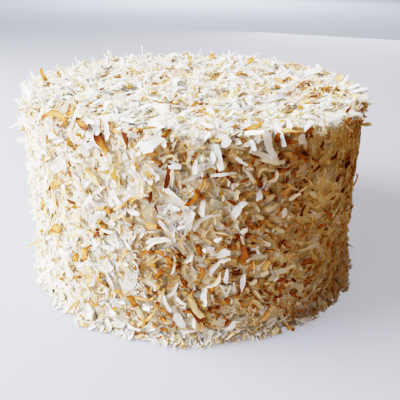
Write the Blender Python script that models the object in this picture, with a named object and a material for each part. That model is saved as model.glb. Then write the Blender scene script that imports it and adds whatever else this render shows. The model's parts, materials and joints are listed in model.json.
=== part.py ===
"""Coconut cake: a tall round layer cake, frosted and coated all over in shaved coconut.

The uncut cake is one solid. Its frosted form is a turned profile, slightly wider at the
foot, with the small unevenness of frosting spread by hand. The largest coconut flakes are
fused to it: they spread evenly over the side and the top, lean at every angle, overhang
the top edge and lie out round the foot.

Lengths are in metres, +Z is up, and the origin is the centre of the flat foot.
"""

import math
import random

import bmesh
import bpy
from mathutils import Matrix, Vector

# Driving dimensions of the frosted form.
HEIGHT = 0.1135
FOOT_RADIUS = 0.1103
TOP_RADIUS = 0.1022
SHOULDER_ROUND = 0.0060
FOOT_ROUND = 0.0014
CROWN = 0.0010

# How finely the turned form is divided.
STEPS_ROUND = 64
SIDE_RINGS = 9
SHOULDER_RINGS = 3
TOP_RINGS = 6
CLOSE_TOGETHER = 1e-6

# Unevenness of frosting spread by hand: (lobes round, turns from foot to top, depth).
WAVES = ((3, 0.4, 0.0006), (5, -0.9, 0.0005), (9, 1.6, 0.0004))
GRAIN = 0.0007
EVEN_FOOT_BAND = 0.016
SEED = 30

# Flakes: how many on the skin, over the rim and round the foot, and their sizes.
SKIN_FLAKES = 222
RIM_FLAKES = 30
FOOT_FLAKES = 34
FLAKE_LENGTH = (0.0085, 0.0165)
FLAKE_WIDTH = (0.0026, 0.0048)
FLAKE_THICKNESS = 0.0010
ROOT_DEPTH = 0.0012
RIM_OVERLAP = 0.0060
RIM_HEIGHTS = (HEIGHT - 0.0040, HEIGHT - 0.0010)
FOOT_OVERLAP = 0.0045
FOOT_HEIGHTS = (0.0020, 0.0065)
RING_SIZES = (0.0, 0.55)
FLOOR_GAP = 0.0006

# Angles of the flakes, in degrees, and their widths as shares of the width at the root.
SKIN_LEAN = (15.0, 28.0)
RIM_LEAN = (-8.0, 18.0)
FOOT_LEAN = (0.0, 16.0)
RING_SWING = 50.0
BEND = (-18.0, 12.0)
TWIST = (-22.0, 22.0)
ROLL = (-24.0, 24.0)
MIDDLE_WIDTH = (1.1, 1.3)
TIP_WIDTH = (0.35, 0.8)
CURVED_FROM = 0.4
RISING_TURNS = (0.075, 0.425)

# Steps of the two-number sequence that spreads points evenly, however many there are.
EVEN_STEP_ROUND = 0.7548776662
EVEN_STEP_UP = 0.5698402910

UP = Vector((0.0, 0.0, 1.0))


def side_radius(height):
    """Radius of the frosted side at a height: a straight taper from foot to top."""
    return FOOT_RADIUS + (TOP_RADIUS - FOOT_RADIUS) * height / HEIGHT


def unevenness(angle, height):
    """How far the frosting stands out of the true taper at a place on the side."""
    rise = 2.0 * math.pi * height / HEIGHT
    return sum(depth * math.cos(lobes * angle + turns * rise) for lobes, turns, depth in WAVES)


def ray_at(angle):
    """The level unit vector from the cake's axis at an angle."""
    return Vector((math.cos(angle), math.sin(angle), 0.0))


def arc_points(centre_x, centre_z, radius, start, end, count):
    """Points on an arc in the X-Z plane, both ends included, its angles in degrees."""
    angles = [math.radians(start + (end - start) * i / count) for i in range(count + 1)]
    centre = Vector((centre_x, 0.0, centre_z))
    return [centre + radius * Vector((math.cos(a), 0.0, math.sin(a))) for a in angles]


def profile_points():
    """The half outline of the cake, from the foot's centre, up the side, to the top's centre."""
    shoulder_base = HEIGHT - SHOULDER_ROUND
    flat_radius = TOP_RADIUS - SHOULDER_ROUND
    points = [Vector((0.0, 0.0, 0.0))]
    points += arc_points(FOOT_RADIUS - FOOT_ROUND, FOOT_ROUND, FOOT_ROUND, -90.0, 0.0, 1)
    for ring in range(1, SIDE_RINGS):
        height = FOOT_ROUND + (shoulder_base - FOOT_ROUND) * ring / SIDE_RINGS
        points.append(Vector((side_radius(height), 0.0, height)))
    points += arc_points(flat_radius, shoulder_base, SHOULDER_ROUND, 0.0, 90.0, SHOULDER_RINGS)
    for ring in range(1, TOP_RINGS + 1):
        radius = flat_radius * (1.0 - ring / TOP_RINGS)
        crown = CROWN * math.cos(0.5 * math.pi * radius / flat_radius)
        points.append(Vector((radius, 0.0, HEIGHT + crown)))
    return points


def frosted_form(dice):
    """The frosted cake as one closed body: the profile turned about Z, then made uneven."""
    bm = bmesh.new()
    corners = [bm.verts.new(point) for point in profile_points()]
    edges = [bm.edges.new(pair) for pair in zip(corners, corners[1:])]
    bmesh.ops.spin(
        bm, geom=corners + edges, cent=(0.0, 0.0, 0.0), axis=UP,
        angle=2.0 * math.pi, steps=STEPS_ROUND, use_merge=True,
    )
    bmesh.ops.remove_doubles(bm, verts=bm.verts, dist=CLOSE_TOGETHER)
    bmesh.ops.recalc_face_normals(bm, faces=bm.faces)
    for corner in bm.verts:
        place = corner.co
        radius = place.xy.length
        if place.z > HEIGHT - SHOULDER_ROUND:
            place.z += dice.uniform(-GRAIN, GRAIN) * radius / TOP_RADIUS
        if radius > SHOULDER_ROUND:
            outward = unevenness(math.atan2(place.y, place.x), place.z) + dice.uniform(-GRAIN, GRAIN)
            fade = min(1.0, place.z / EVEN_FOOT_BAND) * min(1.0, radius / TOP_RADIUS)
            place.xy *= 1.0 + fade * outward / radius
    mesh = bpy.data.meshes.new("coconut_cake")
    bm.to_mesh(mesh)
    bm.free()
    cake = bpy.data.objects.new("coconut_cake", mesh)
    bpy.context.scene.collection.objects.link(cake)
    return cake


def flake_mesh(length, bend, twist, widths):
    """A closed curved strip that runs from the origin along +X, its flat side towards +Z.

    It has a section for each width, from root to tip, and each section turns by its share
    of the bend and the twist.
    """
    spans = len(widths) - 1
    turn = Matrix.Rotation(-bend / spans, 4, "Y") @ Matrix.Rotation(twist / spans, 4, "X")
    step = turn @ Matrix.Translation((length / spans, 0.0, 0.0))
    corners = ((-0.5, -0.5), (0.5, -0.5), (0.5, 0.5), (-0.5, 0.5))
    bm = bmesh.new()
    frame = Matrix.Identity(4)
    sections = []
    for width in widths:
        places = [Vector((0.0, y * width, z * FLAKE_THICKNESS)) for y, z in corners]
        sections.append([bm.verts.new(frame @ place) for place in places])
        frame = frame @ step
    bm.faces.new(sections[0])
    bm.faces.new(sections[-1])
    for near, far in zip(sections, sections[1:]):
        for i in range(len(corners)):
            bm.faces.new((near[i - 1], near[i], far[i], far[i - 1]))
    bmesh.ops.recalc_face_normals(bm, faces=bm.faces)
    mesh = bpy.data.meshes.new("flake")
    bm.to_mesh(mesh)
    bm.free()
    return mesh


def add_flake(holder, dice, root, along, up, size):
    """Adds one flake to the holder collection, unless it would reach the floor.

    The flake's root is inside the cake, it runs along one direction with its flat side
    turned up, and its size goes from 0, the shortest, to 1, the longest. The larger ones
    are broadest in the middle, and the smaller ones are straight chips.
    """
    width = dice.uniform(*FLAKE_WIDTH)
    widths = [width, width * dice.uniform(*MIDDLE_WIDTH), width * dice.uniform(*TIP_WIDTH)]
    if size < CURVED_FROM:
        widths.pop(1)
    length = FLAKE_LENGTH[0] + (FLAKE_LENGTH[1] - FLAKE_LENGTH[0]) * size
    bend = math.radians(dice.uniform(*BEND))
    twist = math.radians(dice.uniform(*TWIST))
    mesh = flake_mesh(length, bend, twist, widths)
    across = up.cross(along).normalized()
    turned = Matrix((along, across, along.cross(across))).transposed().to_4x4()
    roll = Matrix.Rotation(math.radians(dice.uniform(*ROLL)), 4, "X")
    mesh.transform(Matrix.Translation(root) @ turned @ roll)
    if min(corner.co.z for corner in mesh.vertices) < FLOOR_GAP:
        bpy.data.meshes.remove(mesh)
        return
    holder.objects.link(bpy.data.objects.new("flake", mesh))


def skin_place(share_round, share_up):
    """A point of the skin and its outward normal, from two shares that spread evenly by area."""
    angle = 2.0 * math.pi * share_round
    side_area = (FOOT_RADIUS + TOP_RADIUS) * HEIGHT
    side_share = side_area / (side_area + TOP_RADIUS ** 2)
    if share_up < side_share:
        height = HEIGHT * share_up / side_share
        outward = ray_at(angle) * (side_radius(height) + unevenness(angle, height))
        slope = (FOOT_RADIUS - TOP_RADIUS) / HEIGHT
        return outward + UP * height, (ray_at(angle) + UP * slope).normalized()
    covered = (share_up - side_share) / (1.0 - side_share)
    return ray_at(angle) * TOP_RADIUS * math.sqrt(1.0 - covered) + UP * HEIGHT, UP


def scatter_skin_flakes(holder, dice):
    """Flakes over side and top, the largest first, so that those alone are spread evenly too."""
    for index in range(SKIN_FLAKES):
        share_round = math.modf(0.5 + index * EVEN_STEP_ROUND)[0]
        share_up = math.modf(0.5 + index * EVEN_STEP_UP)[0]
        point, normal = skin_place(share_round, share_up)
        level = normal.orthogonal().normalized() if normal == UP else UP.cross(normal).normalized()
        rising = normal.cross(level)
        turns = dice.uniform(*RISING_TURNS) if point.z < EVEN_FOOT_BAND else dice.uniform(0.0, 1.0)
        heading = 2.0 * math.pi * turns
        lean = math.radians(dice.uniform(*SKIN_LEAN))
        over_skin = level * math.cos(heading) + rising * math.sin(heading)
        along = over_skin * math.cos(lean) + normal * math.sin(lean)
        add_flake(holder, dice, point - normal * ROOT_DEPTH, along, normal, 1.0 - index / SKIN_FLAKES)


def ring_of_flakes(holder, dice, count, heights, overlap, lean_range):
    """A ring of flakes that reach out of the cake between two heights, swung to either side."""
    for index in range(count):
        angle = 2.0 * math.pi * (index + dice.uniform(-0.35, 0.35)) / count
        height = dice.uniform(*heights)
        root = ray_at(angle) * (side_radius(height) - overlap) + UP * height
        swung = ray_at(angle + math.radians(dice.uniform(-RING_SWING, RING_SWING)))
        lean = math.radians(dice.uniform(*lean_range))
        along = swung * math.cos(lean) + UP * math.sin(lean)
        add_flake(holder, dice, root, along, UP, dice.uniform(*RING_SIZES))


def fuse_flakes(cake, holder):
    """Joins every flake to the cake in one union, then removes the loose flakes."""
    union = cake.modifiers.new("flakes", "BOOLEAN")
    union.operation = "UNION"
    union.operand_type = "COLLECTION"
    union.collection = holder
    with bpy.context.temp_override(object=cake, active_object=cake):
        bpy.ops.object.modifier_apply(modifier=union.name)
    for flake in list(holder.objects):
        bpy.data.objects.remove(flake)
    bpy.data.collections.remove(holder)


def keep_outer_skin(cake):
    """Keeps the largest skin alone, so a sealed hollow is filled and a loose scrap is dropped."""
    bm = bmesh.new()
    bm.from_mesh(cake.data)
    unseen = set(bm.verts)
    skins = []
    while unseen:
        skin = []
        front = [unseen.pop()]
        while front:
            corner = front.pop()
            skin.append(corner)
            near = {edge.other_vert(corner) for edge in corner.link_edges} & unseen
            unseen -= near
            front.extend(near)
        skins.append(skin)
    skins.sort(key=len)
    for scrap in skins[:-1]:
        bmesh.ops.delete(bm, geom=scrap, context="VERTS")
    bm.to_mesh(cake.data)
    bm.free()


def coconut_material():
    """Warm white frosting with coconut, matt."""
    material = bpy.data.materials.new("coconut_coating")
    material.use_nodes = True
    surface = material.node_tree.nodes["Principled BSDF"]
    surface.inputs["Base Color"].default_value = (0.87, 0.78, 0.60, 1.0)
    surface.inputs["Roughness"].default_value = 0.75
    surface.inputs["Metallic"].default_value = 0.0
    return material


def main():
    """Builds the cake."""
    for old in list(bpy.data.objects):
        bpy.data.objects.remove(old)
    dice = random.Random(SEED)
    cake = frosted_form(dice)
    holder = bpy.data.collections.new("flakes")
    bpy.context.scene.collection.children.link(holder)
    scatter_skin_flakes(holder, dice)
    ring_of_flakes(holder, dice, RIM_FLAKES, RIM_HEIGHTS, RIM_OVERLAP, RIM_LEAN)
    ring_of_flakes(holder, dice, FOOT_FLAKES, FOOT_HEIGHTS, FOOT_OVERLAP, FOOT_LEAN)
    fuse_flakes(cake, holder)
    keep_outer_skin(cake)
    cake.data.materials.clear()
    cake.data.materials.append(coconut_material())
    cake.data.shade_flat()


main()
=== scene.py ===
"""The looks of a coconut cake: warm white frosting under a thick coat of shaved coconut.

The frosting is one uneven turned body. The coconut lies on it in several pieces, one for
each kind: ribbons, petals, white and cream chips, toasted flakes, dark bits, fine shreds and
crumbs. The landmark flakes, in two pieces, are placed one by one where the reference view
shows them.

Lengths are in metres, +Z is up, and the origin is the centre of the cake's flat foot.
"""

import json
import logging
import math
from dataclasses import dataclass, field
from enum import Enum

import bpy
import numpy as np
from mathutils import Matrix, Vector
from mathutils.bvhtree import BVHTree

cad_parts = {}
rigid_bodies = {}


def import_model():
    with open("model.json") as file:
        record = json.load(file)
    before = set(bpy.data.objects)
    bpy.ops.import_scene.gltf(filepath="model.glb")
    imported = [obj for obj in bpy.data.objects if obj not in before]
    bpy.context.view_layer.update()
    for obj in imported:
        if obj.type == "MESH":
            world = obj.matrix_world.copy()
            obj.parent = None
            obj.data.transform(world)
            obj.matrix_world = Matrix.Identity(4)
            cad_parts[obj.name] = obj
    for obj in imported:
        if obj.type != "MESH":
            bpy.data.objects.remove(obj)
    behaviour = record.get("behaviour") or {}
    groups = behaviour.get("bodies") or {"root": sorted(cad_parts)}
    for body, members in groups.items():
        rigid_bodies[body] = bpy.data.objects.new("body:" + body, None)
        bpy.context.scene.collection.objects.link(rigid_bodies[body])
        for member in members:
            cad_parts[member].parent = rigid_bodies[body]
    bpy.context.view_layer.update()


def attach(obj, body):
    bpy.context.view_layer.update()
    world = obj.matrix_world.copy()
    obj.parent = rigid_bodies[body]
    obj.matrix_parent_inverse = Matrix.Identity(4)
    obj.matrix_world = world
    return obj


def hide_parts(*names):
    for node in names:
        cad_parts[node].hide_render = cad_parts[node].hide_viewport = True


LOG = logging.getLogger("coconut_cake")
NODE = "coconut_cake"
BODY = "root"

Range = tuple[float, float]
Pixel = tuple[float, float]
Triple = tuple[float, float, float]
Rgba = tuple[float, float, float, float]

# Steps of the two-number sequence that spreads points evenly, however many there are.
EVEN_STEPS = (0.7548776662, 0.569840291)

# How far each colour of light spreads inside frosting and coconut, red farthest, as shares of a scale.
SOFT_SPREAD = (1.0, 0.8, 0.5)

# The lowest and the highest that a corner of a flake may be.
FLAKE_HEIGHTS = (0.0002, 0.1232)


class Slot(Enum):
    """The finishes that the record names."""

    FROSTING = "frosting"
    WHITE = "white_coconut"
    TOASTED = "toasted_coconut"


class Tone(Enum):
    """How far a flake is toasted, from 0, raw, to 1, nearly burnt."""

    WHITE = 0.0
    CREAM = 0.15
    TAN = 0.29
    GOLDEN = 0.41
    AMBER = 0.5
    ORANGE = 0.6
    RUST = 0.67
    BROWN = 0.74
    DARK = 0.92


class Pattern(Enum):
    """The shapes of flake that are modelled once and then copied."""

    STRIP = "strip"
    RIBBON = "ribbon"
    SPLINTER = "splinter"
    CHIP = "chip"
    LEAF = "leaf"
    CRESCENT = "crescent"
    SHRED = "shred"
    SHAVING = "shaving"
    PETAL = "petal"
    CRUMB = "crumb"


# ---- Small helpers for modelling with operators ----


def select_only(piece: bpy.types.Object) -> None:
    """Makes one object the only one selected, and the active one.

    Args:
        piece: the object to select.
    """
    for other in bpy.context.view_layer.objects:
        other.select_set(False)
    piece.select_set(True)
    bpy.context.view_layer.objects.active = piece


def select_corners(piece: bpy.types.Object, wanted: np.ndarray) -> None:
    """Selects corners of a mesh that is in edit mode, by index, and nothing else.

    Args:
        piece: the object that is being edited.
        wanted: one truth value for each corner.
    """
    bpy.ops.object.mode_set(mode="OBJECT")
    mesh = piece.data
    mesh.polygons.foreach_set("select", np.zeros(len(mesh.polygons), bool))
    mesh.edges.foreach_set("select", np.zeros(len(mesh.edges), bool))
    mesh.vertices.foreach_set("select", np.asarray(wanted, bool))
    bpy.ops.object.mode_set(mode="EDIT")
    bpy.ops.mesh.select_mode(type="VERT")


def corner_places(piece: bpy.types.Object) -> np.ndarray:
    """Reads the corners of a mesh.

    Args:
        piece: the object to read, in edit mode or not.

    Returns:
        One row of x, y and z for each corner.
    """
    if piece.mode == "EDIT":
        piece.update_from_editmode()
    places = np.empty(len(piece.data.vertices) * 3)
    piece.data.vertices.foreach_get("co", places)
    return places.reshape(-1, 3)


def apply_modifier(piece: bpy.types.Object, kind: str, **settings: object) -> None:
    """Adds a modifier to the active object and applies it.

    Args:
        piece: the active object.
        kind: Blender's name for the modifier's type.
        settings: values for the modifier's own settings.
    """
    modifier = piece.modifiers.new(kind.lower(), kind)
    for name, value in settings.items():
        setattr(modifier, name, value)
    bpy.ops.object.modifier_apply(modifier=modifier.name)


# ---- Finishes ----


class NodeSheet:
    """Adds nodes to a tree and links them, with few words for each."""

    def __init__(self, tree: bpy.types.NodeTree) -> None:
        """Starts on a tree; `tree` is the tree to add to."""
        self.tree = tree

    def fill(self, node: bpy.types.Node, inputs: dict[str | int, object]) -> None:
        """Gives inputs of a node their values, or links them.

        Args:
            node: the node.
            inputs: for each input, a value, or an output to link from.
        """
        for name, value in inputs.items():
            if isinstance(value, bpy.types.NodeSocket):
                self.tree.links.new(value, node.inputs[name])
            else:
                node.inputs[name].default_value = value

    def add(
        self, kind: str, inputs: dict[str | int, object] | None = None, **settings: object,
    ) -> bpy.types.Node:
        """Adds a node and sets it up.

        Args:
            kind: the node's type, without the words ShaderNode.
            inputs: for each input, a value, or an output to link from.
            settings: values for the node's own settings.

        Returns:
            The new node.
        """
        node = self.tree.nodes.new("ShaderNode" + kind)
        for name, value in settings.items():
            setattr(node, name, value)
        self.fill(node, inputs or {})
        return node

    def math(
        self, operation: str, first: object, second: object = 0.0, clamp: bool = False,
    ) -> bpy.types.NodeSocket:
        """Adds a sum of two values.

        Args:
            operation: Blender's name for the operation.
            first: a value or an output.
            second: a value or an output.
            clamp: whether the result is kept between 0 and 1.

        Returns:
            The result's output.
        """
        return self.add("Math", {0: first, 1: second}, operation=operation, use_clamp=clamp).outputs[0]

    def noise(self, place: bpy.types.NodeSocket, scale: object, detail: float) -> bpy.types.NodeSocket:
        """The value of a cloudy noise at a `place`, at this `scale` and with this much `detail`."""
        return self.add("TexNoise", {"Vector": place, "Scale": scale, "Detail": detail}).outputs["Fac"]

    def mix(self, share: object, first: object, second: object) -> bpy.types.NodeSocket:
        """A colour that is the `first` where the `share` is 0, and the `second` where it is 1."""
        return self.add("MixRGB", {0: share, 1: first, 2: second}).outputs["Color"]

    def here(self) -> bpy.types.NodeSocket:
        """The place that is being shaded, in the object's own metres."""
        return self.add("TexCoord").outputs["Object"]

    def on_flake(self) -> bpy.types.NodeOutputs:
        """The place on a flake that is being shaded: its share of the length, then of the width."""
        return self.add("SeparateXYZ", {0: self.add("UVMap", uv_map="Flake").outputs["UV"]}).outputs


def new_surface(name: str) -> tuple[bpy.types.Material, NodeSheet, bpy.types.Node]:
    """Starts a material.

    Args:
        name: the material's name.

    Returns:
        The material, a sheet on its nodes, and the shader that they feed.
    """
    material = bpy.data.materials.new(name)
    material.use_nodes = True
    tree = material.node_tree
    return material, NodeSheet(tree), tree.nodes["Principled BSDF"]


def new_group(name: str, inputs: dict[str, float], output: str, kind: str) -> bpy.types.NodeTree:
    """Makes an empty shader node group with named sockets.

    Args:
        name: the group's name.
        inputs: each input's name and its usual value.
        output: the output's name.
        kind: the output's socket type.

    Returns:
        The group's tree, with its input and output nodes in place.
    """
    tree = bpy.data.node_groups.new(name, "ShaderNodeTree")
    for label, value in inputs.items():
        socket = tree.interface.new_socket(label, in_out="INPUT", socket_type="NodeSocketFloat")
        socket.default_value = value
    tree.interface.new_socket(output, in_out="OUTPUT", socket_type=kind)
    tree.nodes.new("NodeGroupInput")
    tree.nodes.new("NodeGroupOutput")
    return tree


@dataclass(frozen=True)
class ToastScale:
    """The colours that coconut goes through as it toasts, in linear light."""

    name: str = "Toasted Colour"
    blotch_detail: float = 3.0
    border_sharpness: float = 3.0
    stops: tuple[tuple[float, Triple], ...] = (
        (0.0, (0.85, 0.88, 0.9)),
        (0.05, (0.9, 0.89, 0.86)),
        (0.12, (0.88, 0.82, 0.695)),
        (0.26, (0.77, 0.58, 0.375)),
        (0.42, (0.63, 0.365, 0.165)),
        (0.62, (0.43, 0.165, 0.032)),
        (0.8, (0.2, 0.048, 0.008)),
        (1.0, (0.075, 0.016, 0.004)),
    )

    def group(self) -> bpy.types.NodeTree:
        """Builds the group that colours a flake by how toasted it is, or finds it if it is there already.

        Returns:
            A group that reads the flake's own attributes and puts out a colour.
        """
        if self.name in bpy.data.node_groups:
            return bpy.data.node_groups[self.name]
        inputs = {"Mottle": 0.1, "Edge": 0.1, "Mottle Scale": 500.0}
        tree = new_group(self.name, inputs, "Color", "NodeSocketColor")
        sheet = NodeSheet(tree)
        given = tree.nodes["Group Input"].outputs
        toast = sheet.add("Attribute", attribute_name="toast").outputs["Fac"]
        blotch = sheet.noise(sheet.here(), given["Mottle Scale"], self.blotch_detail)
        mottle = sheet.math("MULTIPLY", sheet.math("SUBTRACT", blotch, 0.5), given["Mottle"])
        flake = sheet.on_flake()
        off = [sheet.math("ABSOLUTE", sheet.math("SUBTRACT", flake[i], 0.5)) for i in (0, 1)]
        rim = sheet.math("MULTIPLY", sheet.math("MAXIMUM", *off), 2.0)
        border = sheet.math("POWER", rim, self.border_sharpness)
        browned = sheet.math("MULTIPLY", border, sheet.math("MULTIPLY", given["Edge"], toast))
        level = sheet.math("ADD", sheet.math("ADD", toast, mottle), browned, clamp=True)
        ramp = sheet.add("ValToRGB", {"Fac": level})
        steps = ramp.color_ramp.elements
        for index, (place, colour) in enumerate(self.stops):
            step = steps[index] if index < len(steps) else steps.new(place)
            step.position = place
            step.color = (*colour, 1.0)
        sheet.fill(tree.nodes["Group Output"], {"Color": ramp.outputs["Color"]})
        return tree


@dataclass(frozen=True)
class Strands:
    """The fine strands that run along every flake, different on each."""

    name: str = "Coconut Strands"
    along: float = 2.0
    across: float = 9.0
    apart: float = 61.0
    detail: float = 2.0

    def group(self) -> bpy.types.NodeTree:
        """Builds the group for the strands, or finds it if it is there already.

        Returns:
            A group that puts out a height for a bump.
        """
        if self.name in bpy.data.node_groups:
            return bpy.data.node_groups[self.name]
        inputs = {"Along": self.along, "Across": self.across}
        tree = new_group(self.name, inputs, "Height", "NodeSocketFloat")
        sheet = NodeSheet(tree)
        given = tree.nodes["Group Input"].outputs
        flake = sheet.on_flake()
        lot = sheet.add("Attribute", attribute_name="lot").outputs["Fac"]
        place = sheet.add("CombineXYZ", {
            0: sheet.math("MULTIPLY", flake[0], given["Along"]),
            1: sheet.math("MULTIPLY", flake[1], given["Across"]),
            2: sheet.math("MULTIPLY", lot, self.apart),
        })
        height = sheet.noise(place.outputs[0], 1.0, self.detail)
        sheet.fill(tree.nodes["Group Output"], {"Height": height})
        return tree


@dataclass(frozen=True)
class CoconutFinish:
    """Shaved coconut: matt, a little translucent, with fine strands."""

    name: str
    slot: Slot
    mottle: float = 0.1
    mottle_scale: float = 450.0
    edge: float = 0.25
    roughness: float = 0.62
    glow: float = 0.12
    glow_depth: float = 0.0025
    sheen: float = 0.25
    strand_depth: float = 0.00014
    strand_strength: float = 0.8

    def material(self) -> bpy.types.Material:
        """Builds the material, or finds it if it is there already.

        Returns:
            The material.
        """
        if self.name in bpy.data.materials:
            return bpy.data.materials[self.name]
        material, sheet, surface = new_surface(self.name)
        mottling = {"Mottle": self.mottle, "Edge": self.edge, "Mottle Scale": self.mottle_scale}
        colour = sheet.add("Group", mottling, node_tree=ToastScale().group())
        height = sheet.add("Group", node_tree=Strands().group()).outputs["Height"]
        ridges = {"Height": height, "Distance": self.strand_depth, "Strength": self.strand_strength}
        bump = sheet.add("Bump", ridges)
        sheet.fill(surface, {
            "Base Color": colour.outputs["Color"],
            "Normal": bump.outputs["Normal"],
            "Roughness": self.roughness,
            "Specular IOR Level": self.sheen,
            "Subsurface Weight": self.glow,
            "Subsurface Radius": SOFT_SPREAD,
            "Subsurface Scale": self.glow_depth,
        })
        return material


@dataclass(frozen=True)
class FrostingFinish:
    """Whipped frosting: warm white, satin, with the faint drag of the spatula."""

    name: str = "frosting"
    colour_pale: Rgba = (0.9, 0.87, 0.76, 1.0)
    colour_deep: Rgba = (0.87, 0.79, 0.62, 1.0)
    cloud_scale: float = 60.0
    drag_scale: Triple = (120.0, 120.0, 700.0)
    pit_scale: float = 900.0
    pit_share: float = 0.5
    relief: float = 0.0004
    relief_strength: float = 0.6
    roughness: float = 0.5
    glow: float = 0.15
    glow_depth: float = 0.002

    def material(self) -> bpy.types.Material:
        """Builds the material.

        Returns:
            The material.
        """
        material, sheet, surface = new_surface(self.name)
        here = sheet.here()
        colour = sheet.mix(sheet.noise(here, self.cloud_scale, 4.0), self.colour_pale, self.colour_deep)
        drag = sheet.add("Mapping", {"Vector": here, "Scale": self.drag_scale}).outputs[0]
        streaks = sheet.noise(drag, 1.0, 3.0)
        pits = sheet.math("MULTIPLY", sheet.noise(here, self.pit_scale, 2.0), self.pit_share)
        height = sheet.math("ADD", streaks, pits)
        marks = {"Height": height, "Distance": self.relief, "Strength": self.relief_strength}
        bump = sheet.add("Bump", marks)
        sheet.fill(surface, {
            "Base Color": colour,
            "Normal": bump.outputs["Normal"],
            "Roughness": self.roughness,
            "Subsurface Weight": self.glow,
            "Subsurface Radius": SOFT_SPREAD,
            "Subsurface Scale": self.glow_depth,
        })
        return material


@dataclass(frozen=True)
class FloorFinish:
    """A plain pale floor with the faintest cloudiness, that throws a warm light back at the cake."""

    name: str = "floor"
    colour: Rgba = (0.23, 0.25, 0.31, 1.0)
    colour_deep: Rgba = (0.22, 0.24, 0.3, 1.0)
    thrown_back: Rgba = (0.32, 0.18, 0.045, 1.0)
    thrown_near: Rgba = (0.48, 0.37, 0.25, 1.0)
    near_edge: Range = (0.14, 0.17)
    paleness: Rgba = (0.36, 0.38, 0.44, 1.0)
    cloud_scale: float = 3.0
    roughness: float = 0.8

    def material(self) -> bpy.types.Material:
        """Builds the material.

        Returns:
            The material.
        """
        material, sheet, surface = new_surface(self.name)
        here = sheet.here()
        colour = sheet.mix(sheet.noise(here, self.cloud_scale, 2.0), self.colour, self.colour_deep)
        path = sheet.add("LightPath").outputs
        away = sheet.add("VectorMath", {0: here}, operation="LENGTH").outputs["Value"]
        low, high = self.near_edge
        far = sheet.add("MapRange", {"Value": away, "From Min": low, "From Max": high}).outputs["Result"]
        thrown = sheet.mix(far, self.thrown_near, self.thrown_back)
        sheet.fill(surface, {
            "Base Color": sheet.mix(path["Is Diffuse Ray"], colour, thrown),
            "Emission Color": sheet.mix(path["Is Camera Ray"], (0.0, 0.0, 0.0, 1.0), self.paleness),
            "Emission Strength": 1.0,
            "Roughness": self.roughness,
        })
        return material


WHITE_FINISH = CoconutFinish("white_coconut", Slot.WHITE, glow=0.65)
CREAM_FINISH = CoconutFinish("cream_coconut", Slot.WHITE, mottle=0.16, glow=0.65)
TOASTED_FINISH = CoconutFinish("toasted_coconut", Slot.TOASTED, mottle=0.34, edge=0.4, glow=0.45, sheen=0.1)


# ---- The form that everything lies on ----


def outwards(angle: np.ndarray) -> np.ndarray:
    """Level directions away from the cake's axis, one row for each `angle`."""
    return np.stack((np.cos(angle), np.sin(angle), np.zeros_like(angle)), 1)


def sideways(angle: np.ndarray) -> np.ndarray:
    """Level directions round the cake, one row for each `angle`."""
    return np.stack((-np.sin(angle), np.cos(angle), np.zeros_like(angle)), 1)


def reaching(angle: np.ndarray, out: np.ndarray | float, up: np.ndarray | float) -> np.ndarray:
    """Makes rows of x, y and z.

    Args:
        angle: each row's angle round the axis.
        out: how far it reaches from the axis.
        up: its z.

    Returns:
        The rows.
    """
    rows = outwards(angle) * np.broadcast_to(out, angle.shape)[:, None]
    rows[:, 2] = up
    return rows


def turned(first: np.ndarray, second: np.ndarray, angle: np.ndarray) -> np.ndarray:
    """Directions turned from the `first` towards the `second` ones, each by its own `angle`."""
    return first * np.cos(angle)[:, None] + second * np.sin(angle)[:, None]


def bell(off: np.ndarray, spread: float) -> np.ndarray:
    """A smooth hump: 1 where `off` is 0, and nearly nothing at twice the `spread`."""
    return np.exp(-((off / spread) ** 2))


def off_heading(angle: np.ndarray, heading: float) -> np.ndarray:
    """How far each `angle` is from a `heading`, the short way round."""
    return np.arctan2(np.sin(angle - heading), np.cos(angle - heading))


@dataclass
class Places:
    """Places on the cake's skin, one row each."""

    points: np.ndarray
    normals: np.ndarray
    level: np.ndarray

    def keep(self, wanted: np.ndarray) -> "Places":
        """The places for which `wanted` is true."""
        return Places(self.points[wanted], self.normals[wanted], self.level[wanted])

    def join(self, other: "Places") -> "Places":
        """These places followed by the `other` ones."""
        pairs = ((self.points, other.points), (self.normals, other.normals), (self.level, other.level))
        return Places(*(np.vstack(pair) for pair in pairs))


@dataclass(frozen=True)
class Clumps:
    """A smooth random swing from place to place, about as wide as a clump of coconut."""

    size: float
    seed: int
    waves: int = 48
    spread: Range = (0.7, 1.4)

    def at(self, points: np.ndarray) -> np.ndarray:
        """Works out how far the swing goes.

        Args:
            points: rows of x, y and z.

        Returns:
            One value for each point: 0 on average, and mostly between -2 and 2.
        """
        dice = np.random.default_rng(self.seed)
        ways = dice.normal(0.0, 1.0, (self.waves, 3))
        long = self.size * dice.uniform(*self.spread, self.waves)
        ways *= 2.0 * math.pi / (long * np.linalg.norm(ways, axis=1))[:, None]
        swings = np.cos(points @ ways.T + 2.0 * math.pi * dice.random(self.waves))
        return swings.sum(axis=1) * math.sqrt(2.0 / self.waves)


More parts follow.
